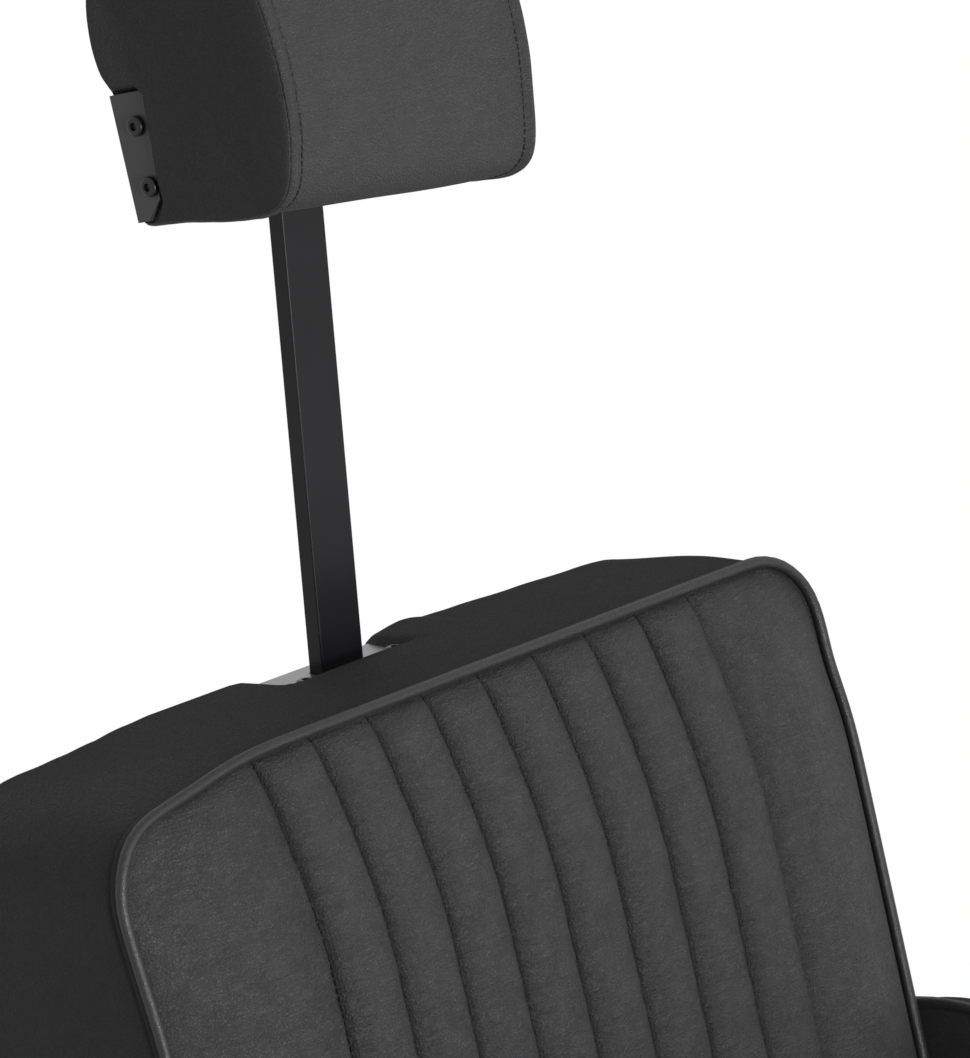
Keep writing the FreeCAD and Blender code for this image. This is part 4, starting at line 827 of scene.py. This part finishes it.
def seat_strip(x, depth, nx, nd):
    """From the piped edge down the boxing and round into the underside."""
    origin = seat_place(x, depth, 0)
    normal = Vector((nx, nd, 0))
    line = []
    for s in SEAT_BOXING:
        arc = math.sin(math.pi * s)
        out = 0.0035 * arc ** 0.7 - 0.0011 * hump(s - SEAT_SEAM, 0.006)
        out += uneven(x * 8, depth * 8 + 7, s, 0.0010) * arc
        line.append(origin + normal * out - Vector((0, 0, SEAT_THICKNESS * s)))
    for turn in (30, 60, 90):
        a = math.radians(turn)
        down = Vector((0, 0, SEAT_THICKNESS * (0.92 + 0.08 * math.sin(a))))
        line.append(origin - normal * 0.007 * (1 - math.cos(a)) - down)
    line.append(line[-1] - normal * 0.02)
    return line


def make_seat():
    cushion = channelled("seat_upholstery", SEAT_LENGTH, 0.0047, SEAT_CROWN, SEAT_CROWN_RUN, 0.0045,
                         seat_place, seat_strip)
    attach(cushion, "seat")
    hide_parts("seat_cushion")
    path = border_path(SEAT_LENGTH, lambda x, d: seat_place(x, d, WELT_FORWARD))
    welt = new_piece("seat_welt", *tube(path, PIPING, True, 12), PIPING_VINYL)
    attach(welt, "seat")
    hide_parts("seat_piping")
    lines = seam_lines(SEAT_LENGTH, SEAT_CROWN, SEAT_CROWN_RUN, seat_place)
    sewing = new_piece("seat_stitching", *stitches(lines), THREAD)
    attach(sewing, "seat")


def face_outwards(piece):
    """Turns the piece's faces so that they look out of it."""
    clean = bmesh.new()
    clean.from_mesh(piece.data)
    bmesh.ops.recalc_face_normals(clean, faces=clean.faces)
    clean.to_mesh(piece.data)
    clean.free()


# Arms

arm_low, arm_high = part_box("arm_right")
ARM_INNER, ARM_OUTER, ARM_BOTTOM = arm_low.x, arm_high.x, arm_low.z
ARM_FRONT, ARM_REAR, ARM_TOP = -0.300, 0.330, 0.702
ARM_LEVEL_END, ARM_REAR_RADIUS, ARM_FRONT_RADIUS = 0.190, 0.155, 0.060
ARM_MIDDLE = (0.02, 0.53)

# The wide shoulder round the outside: its radius, and the turns in degrees at which it has rings and meets the outside
ARM_SHOULDER = 0.054
SHOULDER_TURNS, SHOULDER_END = range(6, 79, 6), 76.5

# Shares of the side view where the flat inside and the outside have rings
INSIDE_SHARES = (
    0.04, 0.12, 0.2, 0.28, 0.36, 0.44, 0.52, 0.6, 0.68, 0.76, 0.83, 0.88, 0.92, 0.95, 0.97, 0.985, 0.995, 1.0,
)
OUTSIDE_SHARES = (0.985, 0.95, 0.88, 0.78, 0.66, 0.52, 0.38, 0.24, 0.1)


def arm_side(grow, foot):
    """Side view of an arm from its front foot over the top to its rear foot, as (y, z) points."""
    front, high, back = ARM_FRONT - grow, ARM_TOP + grow, ARM_REAR + grow
    r, sweep = ARM_FRONT_RADIUS + grow, ARM_REAR_RADIUS + grow
    fall = math.asin(min(1.0, (back - ARM_LEVEL_END) / sweep))
    points = [(front, z) for z in spaced(foot, high - r, 34)]
    points += [(front + r - r * math.cos(a), high - r + r * math.sin(a)) for a in spaced(0, math.pi / 2, 14)[1:]]
    points += [(y, high) for y in spaced(front + r, ARM_LEVEL_END, 52)[1:]]
    for a in spaced(0, fall, 18)[1:]:
        points.append((ARM_LEVEL_END + sweep * math.sin(a), high - sweep + sweep * math.cos(a)))
    corner = points[-1]
    points += [(corner[0] + (back - corner[0]) * s, corner[1] + (foot - corner[1]) * s) for s in spaced(0, 1, 28)[1:]]
    return points


def arm_ring(grow):
    """The side view closed along the arm's foot."""
    foot = ARM_BOTTOM + 0.0005
    side = arm_side(grow, foot)
    return side + [(y, foot) for y in spaced(side[-1][0], side[0][0], 40)[1:-1]]


def shrunk(ring, share):
    """A side view drawn together towards the middle of the arm."""
    return [(ARM_MIDDLE[0] + (y - ARM_MIDDLE[0]) * share, ARM_MIDDLE[1] + (z - ARM_MIDDLE[1]) * share) for y, z in ring]


def make_arm(side):
    """Flat padded inside; the outside rolls over a wide shoulder to the front, the top and the rear."""
    name = "right" if side > 0 else "left"
    rings = []
    for share in INSIDE_SHARES:
        ring = []
        for y, z in shrunk(arm_ring(0.0), share):
            out = 0.0030 * ease((1 - share) / 0.10)
            out += uneven(y * 7, z * 7, 2.0 * side, 0.0012) * ease((1 - share) / 0.15)
            ring.append(Vector((side * (ARM_INNER - out), y, z)))
        rings.append(ring)
    for x, grow in ((0.0012, 0.0006), (0.004, 0.0004), (0.007, 0.0)):
        rings.append([Vector((side * (ARM_INNER + x), y, z)) for y, z in arm_ring(grow)])
    start = ARM_OUTER - ARM_SHOULDER * math.sin(math.radians(SHOULDER_END))
    for turn in SHOULDER_TURNS:
        a = math.radians(turn)
        x = start + ARM_SHOULDER * math.sin(a)
        last = arm_ring(-ARM_SHOULDER * (1 - math.cos(a)))
        rings.append([Vector((side * (x + uneven(x * 8, y * 8, z * 8, 0.0012)), y, z)) for y, z in last])
    for share in OUTSIDE_SHARES:
        ring = []
        for y, z in shrunk(last, share):
            out = 0.0018 * ease((1 - share) / 0.5) + uneven(y * 6, z * 6, 9.0 * side, 0.0012)
            ring.append(Vector((side * (ARM_OUTER + 0.0004 + out), y, z)))
        rings.append(ring)
    # The arm takes the darker plain vinyl: painted shade.
    arm = new_piece("arm_" + name + "_upholstery", *closed_rings(rings), PLAIN_VINYL_PAINTED_SHADE)
    face_outwards(arm)
    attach(arm, "seat")
    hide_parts("arm_" + name)


def make_arms():
    parts = []
    for side in (-1, 1):
        make_arm(side)
        path = [Vector((side * (ARM_INNER - 0.0012), y, z)) for y, z in arm_side(0.0018, ARM_BOTTOM + 0.006)]
        parts.append(tube(path, PIPING, False, 12))
    welt = new_piece("arm_welts", *merged(parts), PIPING_VINYL)
    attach(welt, "seat")
    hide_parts("arm_piping")


# Headrest cushion, drawn upright from the bracket's lower rear edge and then leaned about the tilt pin

HEADREST_LEAN = math.radians(16.5)
PIN_FORWARD, PIN_HEIGHT, BAR_RISE = 0.0245, 0.0302, 0.286

# In millimetres: half the width, the middle of the side view, how far the stitches are from the end panel, how much
# the lower front sags at the right end, and the front edge of the bracket's ear
HEAD_HALF = 93.0
HEAD_MIDDLE = Vector((55.0, 63.0))
HEAD_STITCH = 9.0
HEAD_SAG = 15.0
EAR_FRONT = ((7.5, 0.0), (18.5, 10.0), (24.0, 62.0), (21.0, 65.0))

# The side view, forward and up
HEAD_OUTLINE = (
    (2, -1.5), (14, -2.4), (28, -2.9), (42, -4.5), (55, -6.0), (69, -6.8), (80, -7), (88, -6), (95.5, -3.0),
    (102, 3), (105.8, 10), (108.6, 18), (111.6, 29), (113.2, 41), (113.9, 54), (113.7, 66), (112.5, 82),
    (110.2, 97), (106, 111), (98, 123), (84, 131.5), (62, 135), (40, 134.5), (20, 132), (5, 127), (-3, 118),
    (-6.5, 108), (-8.2, 96), (-8.2, 86), (-6.5, 76), (-2.5, 68.5), (-0.3, 63), (0, 50), (0, 20), (0.3, 3),
)

# Distances from the end panel where the wrapped middle panel has rings: close together round the seam
HEAD_RINGS = [
    0.5, 1.2, 2.2, 3.3, 4.4, 5.5, 6.6, 7.6, 8.2, 8.6, HEAD_STITCH, 9.4, 9.8, 10.4, 11.4, 13, 15.5, 19, 24, 30, 38,
    47, 57, 68, 80,
]
END_RINGS = 44


def lean_headrest(piece):
    """Leans an upright piece about the tilt pin."""
    pin = bar_frame(0, 0, BAR_RISE)
    c, s = math.cos(HEADREST_LEAN), math.sin(HEADREST_LEAN)
    for vertex in piece.data.vertices:
        y, z = vertex.co.y + PIN_FORWARD, vertex.co.z - PIN_HEIGHT
        vertex.co = pin + Vector((vertex.co.x, y * c + z * s, z * c - y * s))


def smooth_loop(corners, step):
    """A closed smooth curve through corners, with points a step apart."""
    points = []
    count = len(corners)
    for i in range(count):
        p0, p1, p2, p3 = (Vector(corners[(i + k) % count]) for k in (-1, 0, 1, 2))
        steps = max(1, round((p2 - p1).length / step))
        for k in range(steps):
            t = k / steps
            points.append(0.5 * (2 * p1 + (p2 - p0) * t + (2 * p0 - 5 * p1 + 4 * p2 - p3) * t**2
                                 + (3 * p1 - p0 - 3 * p2 + p3) * t**3))
    return points


def outside_ear(b, a):
    """How far a place on the end panel lies outside the bracket's ear."""
    gap = max(0.0, a - EAR_FRONT[-1][1], -a)
    for (b0, a0), (b1, a1) in zip(EAR_FRONT, EAR_FRONT[1:]):
        run, rise = b1 - b0, a1 - a0
        gap = max(gap, ((b - b0) * rise - (a - a0) * run) / math.hypot(run, rise))
    return gap


def head_point(x, b, a):
    """A headrest point in metres; the soft lower front hangs a little lower towards one end."""
    drop = HEAD_SAG * max(0.0, (min(x, HEAD_HALF) + HEAD_HALF) / (2 * HEAD_HALF)) ** 1.5
    a -= drop * smooth(b / 45) * smooth((30 - a) / 32)
    return Vector((x / 1000, -b / 1000, a / 1000))


def end_panel(side, outline):
    """Rings of an end panel from its middle out to its edge; it lies flat under the bracket's ear."""
    tree = kdtree.KDTree(len(outline))
    for k, p in enumerate(outline):
        tree.insert((p.x, p.y, 0), k)
    tree.balance()
    rings = []
    for k in range(END_RINGS, -1, -1):
        share = 1 - (k / END_RINGS) ** 1.25 * 0.985
        ring = []
        for p in outline:
            q = HEAD_MIDDLE + (p - HEAD_MIDDLE) * share
            gap = tree.find((q.x, q.y, 0))[2] if share < 1 else 0.0
            out = 9.0 * (1 - math.exp(-gap / 16)) - 0.9 * math.exp(-gap / 0.9)
            out += uneven(q.x / 45, q.y / 45, 3.0 * side, 1.0) * ease(gap / 25)
            under_ear = -1.6
            out = under_ear + (out - under_ear) * smooth(outside_ear(q.x, q.y) / 3.5)
            ring.append(head_point(side * (HEAD_HALF + out), q.x, q.y))
        rings.append(ring)
    return rings


def middle_ring(edge, x, outline, normals):
    """One ring of the wrapped middle panel at a distance from the end panel, with its seam and small tucks."""
    ring = []
    for p, normal in zip(outline, normals):
        out = -1.7 * hump(edge, 0.8) + 1.3 * hump(edge - 3.6, 2.6) - 0.7 * hump(edge - HEAD_STITCH, 0.55)
        full = ease((p.x - 15) / 60) if p.x > 15 else 0.0
        out += (1.6 * ease(max(0.0, edge - HEAD_STITCH) / 40) + 0.3) * full
        out += uneven(x / 60, p.x / 60, p.y / 60, 0.9) * full
        tuck = uneven(x / 22, p.y / 7, p.x / 7, 0.35) * math.exp(-abs(edge - HEAD_STITCH) / 9)
        q = p + normal * (out + tuck * full)
        ring.append(head_point(x, q.x, q.y))
    return ring


def make_headrest():
    outline = smooth_loop(HEAD_OUTLINE, 2.4)
    normals = []
    for k, p in enumerate(outline):
        along = outline[(k + 1) % len(outline)] - outline[k - 1]
        flat = Vector((along.y, -along.x)).normalized()
        normals.append(flat if flat.dot(p - HEAD_MIDDLE) > 0 else -flat)
    places = [(d, d - HEAD_HALF) for d in HEAD_RINGS] + [(HEAD_HALF, 0.0)]
    places += [(d, HEAD_HALF - d) for d in reversed(HEAD_RINGS)]
    rings = end_panel(-1, outline)
    rings += [middle_ring(edge, x, outline, normals) for edge, x in places]
    rings += reversed(end_panel(1, outline))
    cushion = new_piece("headrest_upholstery", *closed_rings(rings), HEADREST_VINYL)
    # The end panels take the darker plain vinyl: painted shade on the headrest's ends.
    cushion.data.materials.append(PLAIN_VINYL_PAINTED_SHADE)
    for polygon in cushion.data.polygons:
        if abs(polygon.center.x) > HEAD_HALF / 1000:
            polygon.material_index = 1
    face_outwards(cushion)
    lean_headrest(cushion)
    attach(cushion, "headrest")
    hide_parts("headrest_cushion")
    lines = []
    for side in (-1, 1):
        x = side * (HEAD_HALF - HEAD_STITCH)
        line = []
        for p, normal in zip(outline, normals):
            q = p + normal * (0.5 * ease((p.x - 15) / 60) - 0.5)
            if p.x > 14:
                line.append(head_point(x, q.x, q.y))
        start = max(range(len(line)), key=lambda i: (line[i] - line[i - 1]).length)
        lines.append(line[start:] + line[:start])
    sewing = new_piece("headrest_stitching", *stitches(lines, 0.0040, 0.62, 0.00038), THREAD)
    lean_headrest(sewing)
    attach(sewing, "headrest")


# Rear panel of the back: a thin board covered in vinyl

PANEL_SHOULDER, PANEL_FOOT = 0.028, 0.006
PANEL_GAP = 0.0015
PANEL_BULGE = 0.0018


def make_rear_panel():
    half = BOARD_HALF - PANEL_GAP
    low, high = -BACK_FRAME_LENGTH, -PANEL_DROP
    outline = []
    for radius, cx, cz, quarter in (
        (PANEL_SHOULDER, half - PANEL_SHOULDER, high - PANEL_SHOULDER, 0),
        (PANEL_FOOT, half - PANEL_FOOT, low + PANEL_FOOT, 1),
        (PANEL_FOOT, PANEL_FOOT - half, low + PANEL_FOOT, 2),
        (PANEL_SHOULDER, PANEL_SHOULDER - half, high - PANEL_SHOULDER, 3),
    ):
        for s in spaced(0, 1, 5):
            turn = math.pi / 2 * (quarter + s)
            outline.append((cx + radius * math.sin(turn), cz + radius * math.cos(turn)))
    full = filled_in(outline, 0.02)
    count = len(full)
    levels = [(1.0, PANEL_FRONT + 0.0005), (1.0, PANEL_REAR - 0.002), (0.9985, PANEL_REAR - 0.0006)]
    levels.append((0.994, PANEL_REAR))
    shares = (0.97, 0.93, 0.87, 0.78, 0.66, 0.5, 0.34, 0.18, 0.05)
    levels += [(s, PANEL_REAR + PANEL_BULGE * (1 - s**3)) for s in shares]
    middle = (low + high) / 2
    vertices = []
    for share, y in levels:
        for x, z in full:
            out = uneven(x * 7, z * 7, 1.5, 0.0006) * (1 - share)
            vertices.append(bar_frame(x * share, y + out, middle + (z - middle) * share))
    faces = [(a, d, c, b) for a, b, c, d in side_faces(len(levels), count)]
    faces.append(tuple(range(count)))
    faces.append(tuple(reversed(range((len(levels) - 1) * count, len(levels) * count))))
    # The rear panel takes the darker plain vinyl: painted shade.
    panel = new_piece("rear_panel_cover", vertices, faces, PLAIN_VINYL_PAINTED_SHADE)
    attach(panel, "back")
    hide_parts("rear_panel")


# Stage: floor, lights, white surroundings and the camera

FLOOR_RADIUS, FLOOR_SIDES, FLOOR_HEIGHT = 1.7, 96, -0.0005


def make_stage():
    mesh = bpy.data.meshes.new("floor")
    turns = [2 * math.pi * k / FLOOR_SIDES for k in range(FLOOR_SIDES)]
    ring = [(FLOOR_RADIUS * math.cos(turn), FLOOR_RADIUS * math.sin(turn), FLOOR_HEIGHT) for turn in turns]
    mesh.from_pydata(ring, [], [tuple(range(FLOOR_SIDES))])
    floor = bpy.data.objects.new("floor", mesh)
    bpy.context.scene.collection.objects.link(floor)
    n = Nodes("pale_floor")
    n.colour(n.noise(3, 4, 0.5), (0.86, 0.86, 0.86), (0.90, 0.90, 0.90))
    n.set(Roughness=0.6)
    mesh.materials.append(n.finish())


def area_light(name, place, target, side, power):
    light = bpy.data.lights.new(name, "AREA")
    light.size = side
    light.energy = power
    holder = bpy.data.objects.new(name, light)
    holder.location = place
    holder.rotation_euler = (Vector(target) - Vector(place)).to_track_quat("-Z", "Y").to_euler()
    bpy.context.scene.collection.objects.link(holder)


def make_lights():
    """Two soft lamps, and a world that lights softly but is seen and mirrored as white."""
    area_light("key", (-0.62, -1.30, 1.22), (-0.10, 0.3, 1.0), 0.6, 30)
    area_light("soft", (0.95, -2.60, 1.50), (0, 0.3, 0.9), 1.1, 17)
    world = bpy.data.worlds.new("studio")
    bpy.context.scene.world = world
    world.use_nodes = True
    tree = world.node_tree
    tree.nodes.clear()
    out = tree.nodes.new("ShaderNodeOutputWorld")
    mix = tree.nodes.new("ShaderNodeMixShader")
    path = tree.nodes.new("ShaderNodeLightPath")
    for place, strength in ((1, 0.50), (2, 1.0)):
        white = tree.nodes.new("ShaderNodeBackground")
        white.inputs["Color"].default_value = (1, 1, 1, 1)
        white.inputs["Strength"].default_value = strength
        tree.links.new(white.outputs["Background"], mix.inputs[place])
    seen = path.outputs["Is Camera Ray"]
    for ray in ("Is Glossy Ray", "Is Transmission Ray"):
        either = tree.nodes.new("ShaderNodeMath")
        either.operation = "MAXIMUM"
        tree.links.new(seen, either.inputs[0])
        tree.links.new(path.outputs[ray], either.inputs[1])
        seen = either.outputs["Value"]
    tree.links.new(seen, mix.inputs["Fac"])
    tree.links.new(mix.outputs["Shader"], out.inputs["Surface"])


# The camera as fitted to the photo: place, where it looks, the photo's height and its focal length in pixels
CAMERA_PLACE = Vector((-2.3961, -1.7147, 2.0024))
CAMERA_AZIMUTH = math.radians(-50.03)
CAMERA_DOWN = math.radians(17.35)
PHOTO_HEIGHT = 1058
FOCAL_PIXELS = 6500


def make_camera():
    data = bpy.data.cameras.new("camera")
    data.sensor_width = 36
    data.lens = FOCAL_PIXELS / PHOTO_HEIGHT * data.sensor_width
    data.clip_end = 60
    camera = bpy.data.objects.new("camera", data)
    camera.location = CAMERA_PLACE
    camera.rotation_euler = (math.pi / 2 - CAMERA_DOWN, 0, CAMERA_AZIMUTH)
    bpy.context.scene.collection.objects.link(camera)
    bpy.context.scene.camera = camera


dress_cad_nodes()
make_back()
make_seat()
make_arms()
make_headrest()
make_rear_panel()
make_stage()
make_lights()
make_camera()
bpy.context.scene.view_settings.view_transform = "Standard"
